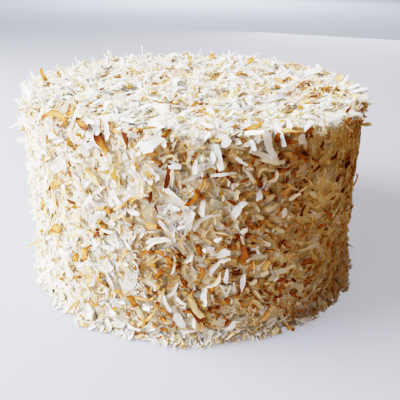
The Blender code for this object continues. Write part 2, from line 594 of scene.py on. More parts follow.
@dataclass(frozen=True)
class CakeForm:
    """The frosted form: a straight taper with a round shoulder, spread a little unevenly.

    Its `waves` are the lobes, turns and depths of the uneven spread. Its `piles` are clumps and how
    high they stand. The drift at the foot has `drift_lumps`, with lobes, turn and share of its
    height, and `drift_heaps`, with heading, spread and share.
    """

    height: float = 0.112
    foot_radius: float = 0.1088
    top_radius: float = 0.1007
    shoulder: float = 0.0034
    crown: float = 0.001
    waves: tuple[Triple, ...] = ((3, 0.4, 0.0006), (5, -0.9, 0.0005), (9, 1.6, 0.0004))
    even_foot: float = 0.016
    piles: tuple[tuple[Clumps, float], ...] = ((Clumps(0.011, 41), 0.0003), (Clumps(0.024, 42), 0.00035))
    top_piles: float = 1.2
    even_rim: Range = (0.08, 0.096)
    drift_usual: float = 0.6
    drift_lumps: tuple[Triple, ...] = ((5, 0.7, 0.1), (13, 2.1, 0.12), (29, 4.0, 0.1))
    drift_heaps: tuple[Triple, ...] = (
        (math.radians(-40.0), 0.42, 0.8),
        (math.radians(-128.0), 0.32, 0.5),
        (math.radians(70.0), 0.6, 0.45),
    )
    drift_reach: float = 0.0052
    drift_rise: float = 0.0075
    drift_thinning: float = 1.7
    drift_slope: Range = (0.6, 0.8)
    jitter: float = 0.35
    profile_steps: int = 600
    shoulder_steps: int = 75

    def radius_at(self, height: np.ndarray) -> np.ndarray:
        """The radius of the straight taper at a `height`."""
        return self.foot_radius + (self.top_radius - self.foot_radius) * height / self.height

    def unevenness(self, angle: np.ndarray, height: np.ndarray) -> np.ndarray:
        """How far the frosting stands out of the true taper.

        Args:
            angle: angles round the cake.
            height: heights above the foot.

        Returns:
            Distances, outwards positive.
        """
        rise = 2.0 * math.pi * height / self.height
        total = sum(depth * np.cos(lobes * angle + turns * rise) for lobes, turns, depth in self.waves)
        return total * np.minimum(1.0, height / self.even_foot)

    def relief(self, points: np.ndarray) -> np.ndarray:
        """How far the lumps of the coat stand up: farthest on the top, and not at all at the foot.

        Args:
            points: rows of x, y and z.

        Returns:
            Heights of the lumps, outwards positive.
        """
        rise = sum(depth * clumps.at(points) for clumps, depth in self.piles)
        rise = rise * np.interp(points[:, 2], (0.0, self.even_foot), (0.0, 1.0))
        inside = np.interp(np.hypot(points[:, 0], points[:, 1]), self.even_rim, (1.0, 0.0))
        on_top = inside * (points[:, 2] > self.height - self.shoulder)
        return rise * (1.0 + self.top_piles * on_top)

    def profile(self) -> np.ndarray:
        """Follows the half outline from the foot, up the side, to the centre of the top.

        Returns:
            Rows of radius, height, and the outward normal's radial and upward parts.
        """
        base = self.height - self.shoulder
        flat = self.top_radius - self.shoulder
        slope = math.atan2(self.foot_radius - self.top_radius, self.height)
        heights = np.linspace(0.0, base, self.profile_steps)
        turn = np.linspace(slope, 0.5 * math.pi, self.shoulder_steps)
        radii = np.linspace(flat, 0.0, self.profile_steps)
        ones = np.ones_like(heights)
        side = (self.radius_at(heights), heights, ones * math.cos(slope), ones * math.sin(slope))
        out, up = np.cos(turn), np.sin(turn)
        bend = (flat + self.shoulder * out, base + self.shoulder * up, out, up)
        top = (radii, self.height + self.crown * np.cos(0.5 * math.pi * radii / flat), 0.0 * ones, ones)
        return np.vstack([np.stack(part, 1) for part in (side, bend, top)])

    def on_skin(self, points: np.ndarray, normals: np.ndarray, angle: np.ndarray) -> Places:
        """Puts places of the smooth form out onto its lumps.

        Args:
            points: the places on the smooth form.
            normals: their outward normals.
            angle: their angles round the cake.

        Returns:
            The places.
        """
        return Places(points + normals * self.relief(points)[:, None], normals, sideways(angle))

    def places(self, share_round: np.ndarray, share_up: np.ndarray) -> Places:
        """Finds places on the skin that are spread by area.

        Args:
            share_round: shares of a full turn.
            share_up: shares of the skin's area, from the foot to the centre of the top.

        Returns:
            The places.
        """
        outline = self.profile()
        steps = np.linalg.norm(np.diff(outline[:, :2], axis=0), axis=1)
        middle = 0.5 * (outline[1:, 0] + outline[:-1, 0])
        area = np.concatenate(([0.0], np.cumsum(steps * middle)))
        radius, height, out, up = (np.interp(share_up * area[-1], area, outline[:, i]) for i in range(4))
        angle = 2.0 * math.pi * share_round
        radius = radius + self.unevenness(angle, height) * radius / self.top_radius
        normals = reaching(angle, out, up)
        normals /= np.linalg.norm(normals, axis=1)[:, None]
        return self.on_skin(reaching(angle, radius, height), normals, angle)

    def even_places(self, count: int, dice: np.random.Generator) -> Places:
        """Spreads places evenly over the whole skin, with a little jitter.

        Args:
            count: how many places.
            dice: the source of random numbers.

        Returns:
            The places.
        """
        index = np.arange(count)
        start = dice.random(2)
        shares = [np.modf(start[i] + index * EVEN_STEPS[i])[0] for i in range(2)]
        jitter = self.jitter / math.sqrt(count)
        shares = [np.clip(share + dice.normal(0.0, jitter, count), 0.0, 0.9999) for share in shares]
        return self.places(*shares)

    def drift_height(self, angle: np.ndarray) -> np.ndarray:
        """Works out how high the drift at the foot lies.

        Args:
            angle: angles round the cake.

        Returns:
            Shares of its full height.
        """
        lumps = sum(share * np.cos(lobes * angle + turn) for lobes, turn, share in self.drift_lumps)
        height = self.drift_usual + lumps
        for heading, spread, share in self.drift_heaps:
            height = height + share * bell(off_heading(angle, heading), spread)
        return height

    def foot_places(self, count: int, dice: np.random.Generator) -> Places:
        """Finds places in the low drift of coconut that has slid down to the foot.

        Args:
            count: how many places.
            dice: the source of random numbers.

        Returns:
            The places, their normals halfway between outwards and up.
        """
        tries = 4 * count
        tried = 2.0 * math.pi * dice.random(tries)
        angle = tried[np.argsort(dice.random(tries) / self.drift_height(tried))[:count]]
        lumps = self.drift_height(angle)
        share_out = dice.beta(1.0, self.drift_thinning, count)
        height = self.drift_rise * lumps * (1.0 - share_out) * dice.random(count)
        points = reaching(angle, self.foot_radius + self.drift_reach * lumps * share_out, height)
        return Places(points, reaching(angle, *self.drift_slope), sideways(angle))

    def rim_places(self, count: int, dice: np.random.Generator) -> Places:
        """Finds places round the top edge.

        Args:
            count: how many places.
            dice: the source of random numbers.

        Returns:
            The places, on the round shoulder.
        """
        shoulder = self.profile()[self.profile_steps:self.profile_steps + self.shoulder_steps]
        radius, height, out, up = shoulder[dice.integers(0, len(shoulder), count)].T
        angle = 2.0 * math.pi * dice.random(count)
        points = reaching(angle, radius + self.unevenness(angle, height), height)
        return self.on_skin(points, reaching(angle, out, up), angle)


@dataclass
class Frosting:
    """The frosted body: a turned form with spatula marks and a crumbly skin."""

    form: CakeForm
    columns: int = 84
    side_rows: int = 13
    top_rings: int = 10
    shoulder_rows: int = 2
    foot_rings: int = 2
    fineness: int = 2
    crumb_size: float = 0.0045
    crumb_relief: float = 0.0007
    crumb_middle: float = 0.55
    smooth_foot: float = 0.004
    finish: FrostingFinish = field(default_factory=FrostingFinish)

    def model(self) -> bpy.types.Object:
        """Models the frosted body from a cylinder.

        Returns:
            The finished body.
        """
        form = self.form
        bpy.ops.mesh.primitive_cylinder_add(
            vertices=self.columns, radius=form.foot_radius, depth=form.height,
            location=(0.0, 0.0, 0.5 * form.height), end_fill_type="NGON",
        )
        body = bpy.context.active_object
        body.name = "frosting"
        select_only(body)
        bpy.ops.object.transform_apply(location=True, rotation=True, scale=True)
        bpy.ops.object.mode_set(mode="EDIT")
        self.taper(body)
        self.cut_side_rows()
        self.round_shoulder(body)
        self.inset_ends(body)
        bpy.ops.object.mode_set(mode="OBJECT")
        apply_modifier(body, "SUBSURF", levels=self.fineness, render_levels=self.fineness)
        self.make_uneven(body)
        body.data.shade_smooth()
        body.data.materials.clear()
        body.data.materials.append(self.finish.material())
        return body

    def taper(self, body: bpy.types.Object) -> None:
        """Draws the top edge in to its own radius.

        Args:
            body: the cylinder, in edit mode.
        """
        form = self.form
        select_corners(body, corner_places(body)[:, 2] > 0.5 * form.height)
        share = form.top_radius / form.foot_radius
        bpy.ops.transform.resize(value=(share, share, 1.0), center_override=(0.0, 0.0, form.height))

    def cut_side_rows(self) -> None:
        """Cuts the side of the body, which is in edit mode, into level rows."""
        for row in range(1, self.side_rows):
            height = (self.form.height - self.form.shoulder) * row / self.side_rows
            bpy.ops.mesh.select_all(action="SELECT")
            bpy.ops.mesh.bisect(plane_co=(0.0, 0.0, height), plane_no=(0.0, 0.0, 1.0))

    def round_shoulder(self, body: bpy.types.Object) -> None:
        """Rounds the top edge.

        Args:
            body: the tapered body, in edit mode.
        """
        form = self.form
        select_corners(body, corner_places(body)[:, 2] > form.height - 0.25 * form.shoulder)
        bpy.ops.mesh.select_mode(use_extend=False, use_expand=False, type="EDGE")
        bpy.ops.mesh.bevel(
            offset=form.shoulder, offset_type="OFFSET", segments=self.shoulder_rows, affect="EDGES",
        )

    def inset_ends(self, body: bpy.types.Object) -> None:
        """Divides the top and the foot into rings that shrink to the centre.

        Args:
            body: the rounded body, in edit mode.
        """
        form = self.form
        for height, rings, start in (
            (form.height, self.top_rings, form.top_radius - form.shoulder),
            (0.0, self.foot_rings, form.foot_radius),
        ):
            bpy.ops.mesh.select_mode(type="FACE")
            bpy.ops.mesh.select_all(action="DESELECT")
            bpy.ops.object.mode_set(mode="OBJECT")
            for face in body.data.polygons:
                face.select = len(face.vertices) == self.columns and abs(face.center.z - height) < 0.001
            bpy.ops.object.mode_set(mode="EDIT")
            for _ring in range(rings):
                bpy.ops.mesh.inset(thickness=start / (rings + 1), depth=0.0)
            bpy.ops.mesh.poke()

    def make_uneven(self, body: bpy.types.Object) -> None:
        """Adds the crown, the waves of the spread frosting and the crumbly skin.

        Args:
            body: the divided body.
        """
        form = self.form
        places = corner_places(body)
        radius = np.linalg.norm(places[:, :2], axis=1)
        angle = np.arctan2(places[:, 1], places[:, 0])
        out = form.unevenness(angle, places[:, 2]) * radius / form.top_radius
        places[:, :2] *= (1.0 + out / np.maximum(radius, 0.001))[:, None]
        on_top = np.clip((places[:, 2] - (form.height - form.shoulder)) / form.shoulder, 0.0, 1.0)
        share_out = np.minimum(1.0, radius / form.top_radius)
        places[:, 2] += on_top * form.crown * np.cos(0.5 * math.pi * share_out)
        body.data.vertices.foreach_set("co", places.ravel())
        body.data.update()
        normals = np.empty(places.size)
        body.data.vertices.foreach_get("normal", normals)
        places += normals.reshape(-1, 3) * form.relief(places)[:, None]
        body.data.vertices.foreach_set("co", places.ravel())
        skin = body.vertex_groups.new(name="skin")
        strength = np.clip(places[:, 2] / self.smooth_foot, 0.0, 1.0)
        for index in np.flatnonzero(strength > 0.01):
            skin.add([int(index)], float(strength[index]), "REPLACE")
        relief = bpy.data.textures.new("crumbs", "CLOUDS")
        relief.noise_scale = self.crumb_size
        relief.noise_depth = 2
        apply_modifier(
            body, "DISPLACE", texture=relief, strength=self.crumb_relief, mid_level=self.crumb_middle,
            texture_coords="LOCAL", vertex_group="skin",
        )
        body.vertex_groups.clear()


# ---- Flakes ----


@dataclass
class FlakeMesh:
    """One flake's mesh as arrays: it runs from x = 0 to 1, and is 1 wide and 1 thick."""

    corners: np.ndarray
    face_corners: np.ndarray
    face_starts: np.ndarray
    sheet: np.ndarray

    def spots(self) -> tuple[np.ndarray, np.ndarray, np.ndarray]:
        """Tells where on the flake each corner is.

        Returns:
            Each corner's row along the flake, its edge (0 right, 1 middle, 2 left), and its row's middle.
        """
        _rows, row = np.unique(np.round(self.corners[:, 0], 3), return_inverse=True)
        middle = np.bincount(row, self.corners[:, 1])[row] / np.bincount(row)[row]
        return row, 1 + np.sign(np.round(self.corners[:, 1] - middle, 4)).astype(int), middle


@dataclass(frozen=True)
class FlakeShape:
    """A flake's outline: at each of its sections, its width, its sideways shift and its lift."""

    widths: tuple[float, ...]
    shifts: tuple[float, ...]
    depths: tuple[float, ...]
    cup: float = 0.0
    unfold_angle: float = math.radians(50.0)
    unfold_gap: float = 0.03

    def model(self, name: str) -> FlakeMesh:
        """Models the flake from a block, section by section.

        Args:
            name: a name for the block.

        Returns:
            The finished flake's arrays.
        """
        bpy.ops.mesh.primitive_cube_add(size=1.0, location=(0.5, 0.0, 0.0))
        block = bpy.context.active_object
        block.name = name
        select_only(block)
        bpy.ops.object.transform_apply(location=True, rotation=True, scale=True)
        bpy.ops.object.mode_set(mode="EDIT")
        spans = len(self.widths) - 1
        for span in range(1, spans):
            bpy.ops.mesh.select_all(action="SELECT")
            bpy.ops.mesh.bisect(plane_co=(span / spans, 0.0, 0.0), plane_no=(1.0, 0.0, 0.0))
        for index, (width, shift, depth) in enumerate(zip(self.widths, self.shifts, self.depths)):
            along = index / spans
            select_corners(block, np.abs(corner_places(block)[:, 0] - along) < 0.1 / spans)
            bpy.ops.transform.resize(value=(1.0, width, depth), center_override=(along, 0.0, 0.0))
            bpy.ops.transform.translate(value=(0.0, shift, 0.0))
        if self.cup:
            self.hollow(block)
        bpy.ops.mesh.select_all(action="SELECT")
        bpy.ops.uv.smart_project(angle_limit=self.unfold_angle, island_margin=self.unfold_gap)
        bpy.ops.object.mode_set(mode="OBJECT")
        return read_flake(block)

    def hollow(self, block: bpy.types.Object) -> None:
        """Divides the flake lengthwise and sinks its middle, so that it is cupped.

        Args:
            block: the flake, in edit mode.
        """
        bpy.ops.mesh.select_all(action="SELECT")
        before = len(block.data.vertices)
        bpy.ops.mesh.bisect(plane_co=(0.0, 0.0, 0.0), plane_no=(0.0, 1.0, 0.0))
        select_corners(block, np.arange(len(corner_places(block))) >= before)
        bpy.ops.transform.translate(value=(0.0, 0.0, -self.cup))


def read_flake(block: bpy.types.Object) -> FlakeMesh:
    """Reads a modelled flake into arrays and removes its object.

    Args:
        block: the modelled flake.

    Returns:
        The flake's arrays.
    """
    mesh = block.data
    face_corners = np.empty(len(mesh.loops), int)
    mesh.loops.foreach_get("vertex_index", face_corners)
    face_starts = np.empty(len(mesh.polygons), int)
    mesh.polygons.foreach_get("loop_start", face_starts)
    sheet = np.empty(len(mesh.loops) * 2)
    mesh.uv_layers.active.uv.foreach_get("vector", sheet)
    flake = FlakeMesh(corner_places(block), face_corners, face_starts, sheet.reshape(-1, 2))
    bpy.data.objects.remove(block)
    bpy.data.meshes.remove(mesh)
    return flake


FLAKE_SHAPES = {
    Pattern.STRIP: FlakeShape((0.74, 1.0, 0.92, 0.8), (0.0, 0.07, -0.05, 0.05), (1.0, 1.1, 1.0, 0.8)),
    Pattern.RIBBON: FlakeShape(
        (0.75, 0.95, 1.0, 0.92, 1.0, 0.62),
        (0.0, 0.1, 0.05, -0.08, 0.0, 0.14),
        (0.9, 1.1, 1.0, 1.1, 1.0, 0.7),
    ),
    Pattern.SHAVING: FlakeShape(
        (0.74, 0.96, 1.04, 0.94, 1.0, 0.62),
        (0.0, 0.06, -0.05, 0.04, 0.1, 0.02),
        (0.8, 1.0, 1.0, 1.0, 0.9, 0.6),
        cup=0.7,
    ),
    Pattern.PETAL: FlakeShape(
        (0.5, 1.0, 1.05, 0.48), (0.0, -0.05, 0.05, 0.1), (0.8, 1.0, 1.0, 0.6), cup=0.9,
    ),
    Pattern.SPLINTER: FlakeShape((1.0, 0.86, 0.56, 0.14), (0.0, 0.05, 0.12, 0.28), (1.1, 1.0, 0.9, 0.5)),
    Pattern.CHIP: FlakeShape((0.8, 1.0, 0.96, 0.66), (0.0, -0.06, 0.05, 0.12), (0.8, 1.1, 1.0, 0.7)),
    Pattern.LEAF: FlakeShape((0.3, 0.92, 1.0, 0.2), (0.0, 0.05, 0.0, -0.12), (0.8, 1.1, 1.0, 0.5)),
    Pattern.CRESCENT: FlakeShape((0.22, 0.72, 0.76, 0.18), (-0.34, 0.22, 0.24, -0.3), (0.7, 1.1, 1.0, 0.6)),
    Pattern.SHRED: FlakeShape((0.85, 1.0, 0.55), (0.0, 0.3, -0.2), (1.0, 1.1, 0.7)),
    Pattern.CRUMB: FlakeShape((0.8, 0.62), (0.08, -0.1), (0.9, 0.6)),
}


@dataclass
class Copies:
    """Where copies of a flake go, and how each is shaped, one row each."""

    root: np.ndarray
    along: np.ndarray
    up: np.ndarray
    length: np.ndarray
    width: np.ndarray
    thickness: np.ndarray
    bend: np.ndarray
    twist: np.ndarray
    swerve: np.ndarray
    taper: np.ndarray
    ragged: np.ndarray
    toast: np.ndarray
    tip_toast: np.ndarray
    edge_toast: np.ndarray

    def rows(self, wanted: np.ndarray) -> "Copies":
        """The copies that `wanted` picks."""
        return Copies(*(getattr(self, name)[wanted] for name in self.__dataclass_fields__))


# How far a torn flake is crumpled across its thickness, in thicknesses, and slips along, in widths.
CRUMPLE = 1.9
SLIP = 0.6

# The gap round each copy in its square of the map that colours are baked to, as a share of the square.
BAKE_GAP = 0.06

# Edges sharper than this stay sharp.
SHARP = math.radians(38.0)


def shaped_corners(flake: FlakeMesh, copies: Copies, dice: np.random.Generator) -> np.ndarray:
    """Tears, bends, twists and places a flake for each copy.

    Args:
        flake: the modelled flake.
        copies: where the copies go.
        dice: the source of random numbers.

    Returns:
        The corners of every copy, by copy, corner and axis.
    """
    row, edge, middle = flake.spots()
    torn, slipped, crumpled = (
        dice.normal(0.0, 1.0, (len(copies.length), row.max() + 1, 3))[:, row, edge] * copies.ragged[:, None]
        for _part in range(3)
    )
    share = flake.corners[None, :, 0]
    wide = (middle + (flake.corners[None, :, 1] - middle) * np.exp(torn)) * copies.width[:, None]
    wide = wide * (1.0 + copies.taper[:, None] * (share - 0.5))
    thick = (flake.corners[None, :, 2] + CRUMPLE * crumpled) * copies.thickness[:, None]
    share = share + SLIP * slipped * np.minimum(1.0, copies.width / copies.length)[:, None]
    turn = copies.twist[:, None] * (share - 0.5)
    across = wide * np.cos(turn) - thick * np.sin(turn)
    across = across + 4.0 * share * (1.0 - share) * (copies.swerve * copies.length)[:, None]
    raised = wide * np.sin(turn) + thick * np.cos(turn)
    angle = copies.bend[:, None] * share
    length = copies.length[:, None]
    run = length * share * np.sinc(angle / math.pi) - raised * np.sin(angle)
    half = np.sinc(0.5 * angle / math.pi)
    rise = length * share * 0.5 * angle * half * half + raised * np.cos(angle)
    tip = 0.5 * copies.bend[:, None]
    forward = run * np.cos(tip) + rise * np.sin(tip)
    lift = rise * np.cos(tip) - run * np.sin(tip)
    side = np.cross(copies.up, copies.along)
    return (
        copies.root[:, None, :]
        + forward[:, :, None] * copies.along[:, None, :]
        + across[:, :, None] * side[:, None, :]
        + lift[:, :, None] * copies.up[:, None, :]
    )


def joined_copies(
    name: str, flakes: list[FlakeMesh], batches: list[Copies], dice: np.random.Generator,
) -> bpy.types.Object:
    """Joins all the copies of several flakes into one mesh.

    Every copy has its own square of the map that colours are baked to.

    Args:
        name: the piece's name.
        flakes: the modelled flakes.
        batches: for each flake, where its copies go.
        dice: the source of random numbers.

    Returns:
        The joined piece.
    """
    lowest, highest = FLAKE_HEIGHTS
    cells = math.ceil(math.sqrt(sum(len(batch.length) for batch in batches)))
    corners, face_corners, face_starts, bake, local, toast, lots = [], [], [], [], [], [], []
    corner_base = loop_base = copy_base = 0
    for flake, batch in zip(flakes, batches):
        count = len(batch.length)
        if count == 0:
            continue
        places = shaped_corners(flake, batch, dice)
        height = places[:, :, 2]
        height -= np.maximum(0.0, height.max(axis=1) - highest)[:, None]
        height -= np.minimum(0.0, height.min(axis=1) - lowest)[:, None]
        corners.append(places.reshape(-1, 3))
        per_copy = len(flake.corners)
        loops = len(flake.face_corners)
        index = np.arange(count)
        face_corners.append((flake.face_corners + (corner_base + per_copy * index)[:, None]).ravel())
        face_starts.append((flake.face_starts + (loop_base + loops * index)[:, None]).ravel())
        index = copy_base + index
        cell = np.stack((index % cells, index // cells), 1) / cells
        unfolded = BAKE_GAP + (1.0 - 2.0 * BAKE_GAP) * flake.sheet
        bake.append((cell[:, None, :] + unfolded[None] / cells).reshape(-1, 2))
        flat = flake.corners[flake.face_corners][:, :2] + (0.0, 0.5)
        local.append(np.broadcast_to(flat, (count, loops, 2)).reshape(-1, 2))
        lean = 2.0 * flake.corners[None, :, 0] - 1.0
        edge = flake.spots()[1]
        border = ((edge != 1) & (edge == 1).any())[None, :]
        browned = batch.toast[:, None] + batch.tip_toast[:, None] * lean + batch.edge_toast[:, None] * border
        toast.append(np.clip(browned, 0.0, 1.0).ravel())
        lots.append(np.repeat(dice.random(count), per_copy))
        corner_base += per_copy * count
        loop_base += loops * count
        copy_base += count
    mesh = bpy.data.meshes.new(name)
    mesh.vertices.add(corner_base)
    mesh.vertices.foreach_set("co", np.concatenate(corners).ravel())
    mesh.loops.add(loop_base)
    mesh.loops.foreach_set("vertex_index", np.concatenate(face_corners))
    starts = np.concatenate(face_starts)
    mesh.polygons.add(len(starts))
    mesh.polygons.foreach_set("loop_start", starts)
    mesh.update(calc_edges=True)
    for label, values in (("OFBake", bake), ("Flake", local)):
        layer = mesh.uv_layers.new(name=label)
        layer.uv.foreach_set("vector", np.concatenate(values).ravel())
    for label, values in (("toast", toast), ("lot", lots)):
        attribute = mesh.attributes.new(label, "FLOAT", "POINT")
        attribute.data.foreach_set("value", np.concatenate(values))
    piece = bpy.data.objects.new(name, mesh)
    bpy.context.scene.collection.objects.link(piece)
    select_only(piece)
    bpy.ops.object.shade_smooth_by_angle(angle=SHARP)
    return piece


# ---- Where the coconut lies ----


@dataclass(frozen=True)
class PhotoCamera:
    """The camera of the reference view, a square picture of 400 by 400 pixels."""

    place: Triple = (0.0043, -0.2714, 0.1719)
    look_down: float = math.radians(27.91)
    roll: float = math.radians(0.867)
    lens: float = 37.68
    sensor: float = 36.0
    picture: float = 400.0
    nearest: float = 0.01

    def axes(self) -> Matrix:
        """Works out which way the camera is turned.

        Returns:
            Its right, up and backward directions, as columns.
        """
        forward = Vector((0.0, math.cos(self.look_down), -math.sin(self.look_down)))
        right = Vector((1.0, 0.0, 0.0))
        up = right.cross(forward)
        turned_right = math.cos(self.roll) * right + math.sin(self.roll) * up
        turned_up = math.cos(self.roll) * up - math.sin(self.roll) * right
        return Matrix((turned_right, turned_up, -forward)).transposed()

    def seen_at(self, points: np.ndarray) -> tuple[np.ndarray, np.ndarray]:
        """Finds where points appear in the reference view.

        Args:
            points: rows of x, y and z.

        Returns:
            Their pixels, and their distances along the view.
        """
        turned = (points - np.array(self.place)) @ np.array(self.axes())
        depth = -turned[:, 2]
        scale = self.pixel_size() * depth
        half = 0.5 * self.picture
        return np.stack((half + turned[:, 0] / scale, half - turned[:, 1] / scale), 1), depth

    def pixel_size(self) -> float:
        """The width of a pixel at a distance of 1 m."""
        return self.sensor / self.lens / self.picture

    def ray(self, pixel: Pixel) -> Vector:
        """Finds the direction in which a pixel is seen.

        Args:
            pixel: the pixel.

        Returns:
            The direction, away from the camera.
        """
        scale = self.pixel_size()
        half = 0.5 * self.picture
        seen = Vector(((pixel[0] - half) * scale, (half - pixel[1]) * scale, -1.0))
        return (self.axes() @ seen).normalized()

    def build(self) -> None:
        """Adds the camera to the scene and makes it the one in use."""
        data = bpy.data.cameras.new("camera")
        data.lens = self.lens
        data.sensor_width = self.sensor
        data.clip_start = self.nearest
        camera = bpy.data.objects.new("camera", data)
        camera.matrix_world = Matrix.Translation(self.place) @ self.axes().to_4x4()
        bpy.context.scene.collection.objects.link(camera)
        bpy.context.scene.camera = camera


class Skin:
    """The frosting's real surface, for finding what a pixel of the reference view shows.

    Its `middle` is the pixel at the middle of the cake, and `inward_steps` lead there from any other.
    """

    middle: Pixel = (195.0, 190.0)
    inward_steps: int = 200
    farthest_slant: float = 3.0
    least_seen: float = 0.55

    def __init__(self, body: bpy.types.Object, camera: PhotoCamera) -> None:
        """Reads the surface.

        Args:
            body: the frosted body.
            camera: the camera of the reference view.
        """
        self.camera = camera
        self.tree = BVHTree.FromObject(body, bpy.context.evaluated_depsgraph_get())

    def seen(self, pixel: Pixel) -> tuple[Vector, Vector] | None:
        """Finds the place on the frosting that a pixel shows.

        Args:
            pixel: the pixel.

        Returns:
            The place and the outward normal, or None where the ray misses the cake.
        """
        start = Vector(self.camera.place)
        place, normal, _index, _distance = self.tree.ray_cast(start, self.camera.ray(pixel))
        return None if place is None else (place, normal)

    def nearest(self, pixel: Pixel) -> tuple[Vector, Vector]:
        """Finds the place that a pixel shows or, where it misses the cake, the next one inwards.

        Args:
            pixel: the pixel.

        Returns:
            The place and the outward normal.
        """
        step = 0
        while (found := self.seen(pixel)) is None:
            step += 1
            share = step / self.inward_steps
            pixel = tuple(here + (middle - here) * share for here, middle in zip(pixel, self.middle))
        return found

    def above(self, pixel: Pixel, height: float) -> Vector:
        """Finds the point that a pixel shows when it lies a little above the frosting.

        Where the frosting is seen nearly edge on, the point is kept close to it.

        Args:
            pixel: the pixel.
            height: how far above the frosting.

        Returns:
            The point.
        """
        place, normal = self.nearest(pixel)
        way = (Vector(self.camera.place) - place).normalized()
        return place + way * height * min(self.farthest_slant, 1.0 / max(way.dot(normal), 0.01))

    def pixel_across(self, place: Vector, across: Vector) -> float:
        """Finds how wide a flake is that looks one pixel wide.

        Args:
            place: where the flake is.
            across: the direction across it.

        Returns:
            The width, in metres.
        """
        sight = place - Vector(self.camera.place)
        depth = -sight.dot(Vector(self.camera.axes().col[2]))
        seen = math.sqrt(max(0.0, 1.0 - across.dot(sight.normalized()) ** 2))
        return self.camera.pixel_size() * depth / max(seen, self.least_seen)

    def off_cake(self, pixel: Pixel, root: Vector, tallest: float) -> Vector:
        """Finds the point beside the cake that a pixel shows.

        Args:
            pixel: the pixel.
            root: a point whose distance from the camera it has, unless that makes it too high.
            tallest: the greatest height that is allowed.

        Returns:
            The point.
        """
        start = Vector(self.camera.place)
        forward = -Vector(self.camera.axes().col[2])
        ray = self.camera.ray(pixel)
        reach = (root - start).dot(forward) / ray.dot(forward)
        if start.z + ray.z * reach > tallest:
            reach = (tallest - start.z) / ray.z
        return start + ray * reach


@dataclass(frozen=True)
class Patch:
    """A round patch of the skin, named by the pixel at its middle."""

    pixel: Pixel
    radius: float
    strength: float

    def share(self, points: np.ndarray, skin: Skin) -> np.ndarray:
        """How strongly the patch is felt at `points`, fading out from its middle on the `skin`."""
        middle = np.array(skin.nearest(self.pixel)[0])
        return self.strength * bell(np.linalg.norm(points - middle, axis=1), self.radius)


def patches(*rows: tuple[float, float, float, float]) -> tuple[Patch, ...]:
    """Patches from rows of the pixel's x and y, the radius in metres and the strength."""
    return tuple(Patch(row[:2], *row[2:]) for row in rows)


# Where toasted coconut gathers, partly as painted shade: the broad patches towards the right of the top,
# round pixels (308, 100), (318, 92), (320, 80) and (336, 96), darken and warm the coat where the light
# falls off, and those round (283, 165), (212, 240) and (212, 242) also paint the orange-brown shade of the
# side.
TOAST_AND_SHADE_PATCHES = patches(
    (150, 262, 0.011, 0.2), (178, 280, 0.013, 0.6), (140, 312, 0.011, 0.55), (168, 318, 0.012, 0.45),
    (205, 305, 0.01, 0.48), (225, 285, 0.013, 0.4), (265, 285, 0.014, 0.45), (258, 232, 0.012, 0.4),
    (290, 250, 0.012, 0.35), (300, 205, 0.014, 0.3), (330, 230, 0.014, 0.15), (285, 180, 0.011, 0.4),
    (283, 165, 0.013, 0.35), (320, 170, 0.012, 0.1), (345, 160, 0.012, 0.2), (200, 200, 0.009, 0.12),
    (240, 165, 0.01, 0.4), (288, 145, 0.009, 0.35), (70, 118, 0.011, 0.45), (112, 140, 0.011, 0.25),
    (125, 205, 0.01, 0.3), (65, 180, 0.009, 0.3), (55, 230, 0.008, 0.45), (100, 290, 0.01, 0.25),
    (285, 112, 0.008, 0.35), (290, 85, 0.009, 0.3), (240, 80, 0.008, 0.25), (125, 80, 0.01, 0.2),
    (300, 300, 0.012, 0.35), (320, 265, 0.013, 0.2), (245, 330, 0.01, 0.18), (262, 88, 0.024, 0.1),
    (308, 100, 0.022, 0.26), (215, 66, 0.024, 0.1), (320, 80, 0.02, 0.24), (336, 96, 0.014, 0.3),
    (212, 242, 0.011, 0.32), (234, 228, 0.011, 0.28), (236, 262, 0.011, 0.22), (246, 138, 0.009, 0.4),
    (250, 187, 0.011, 0.28), (278, 266, 0.009, 0.28), (312, 218, 0.01, 0.2), (275, 120, 0.012, 0.2),
    (318, 92, 0.04, 0.16), (212, 240, 0.006, 0.25),
)

# Where the frosting shows through.
BARE_PATCHES = patches(
    (109, 176, 0.0075, 0.7), (268, 265, 0.006, 0.8), (318, 186, 0.008, 0.8), (118, 318, 0.008, 0.8),
    (275, 312, 0.008, 0.8), (188, 282, 0.004, 0.7), (62, 205, 0.006, 0.5), (330, 120, 0.006, 0.7),
    (318, 140, 0.008, 0.4), (340, 148, 0.01, 0.35), (330, 205, 0.012, 0.5), (346, 109, 0.005, 0.6),
    (322, 240, 0.01, 0.5), (308, 121, 0.005, 0.8), (316, 118, 0.005, 0.9), (330, 116, 0.005, 0.9),
    (342, 112, 0.005, 0.9), (338, 180, 0.012, 0.3), (300, 230, 0.008, 0.2), (310, 210, 0.008, 0.15),
)


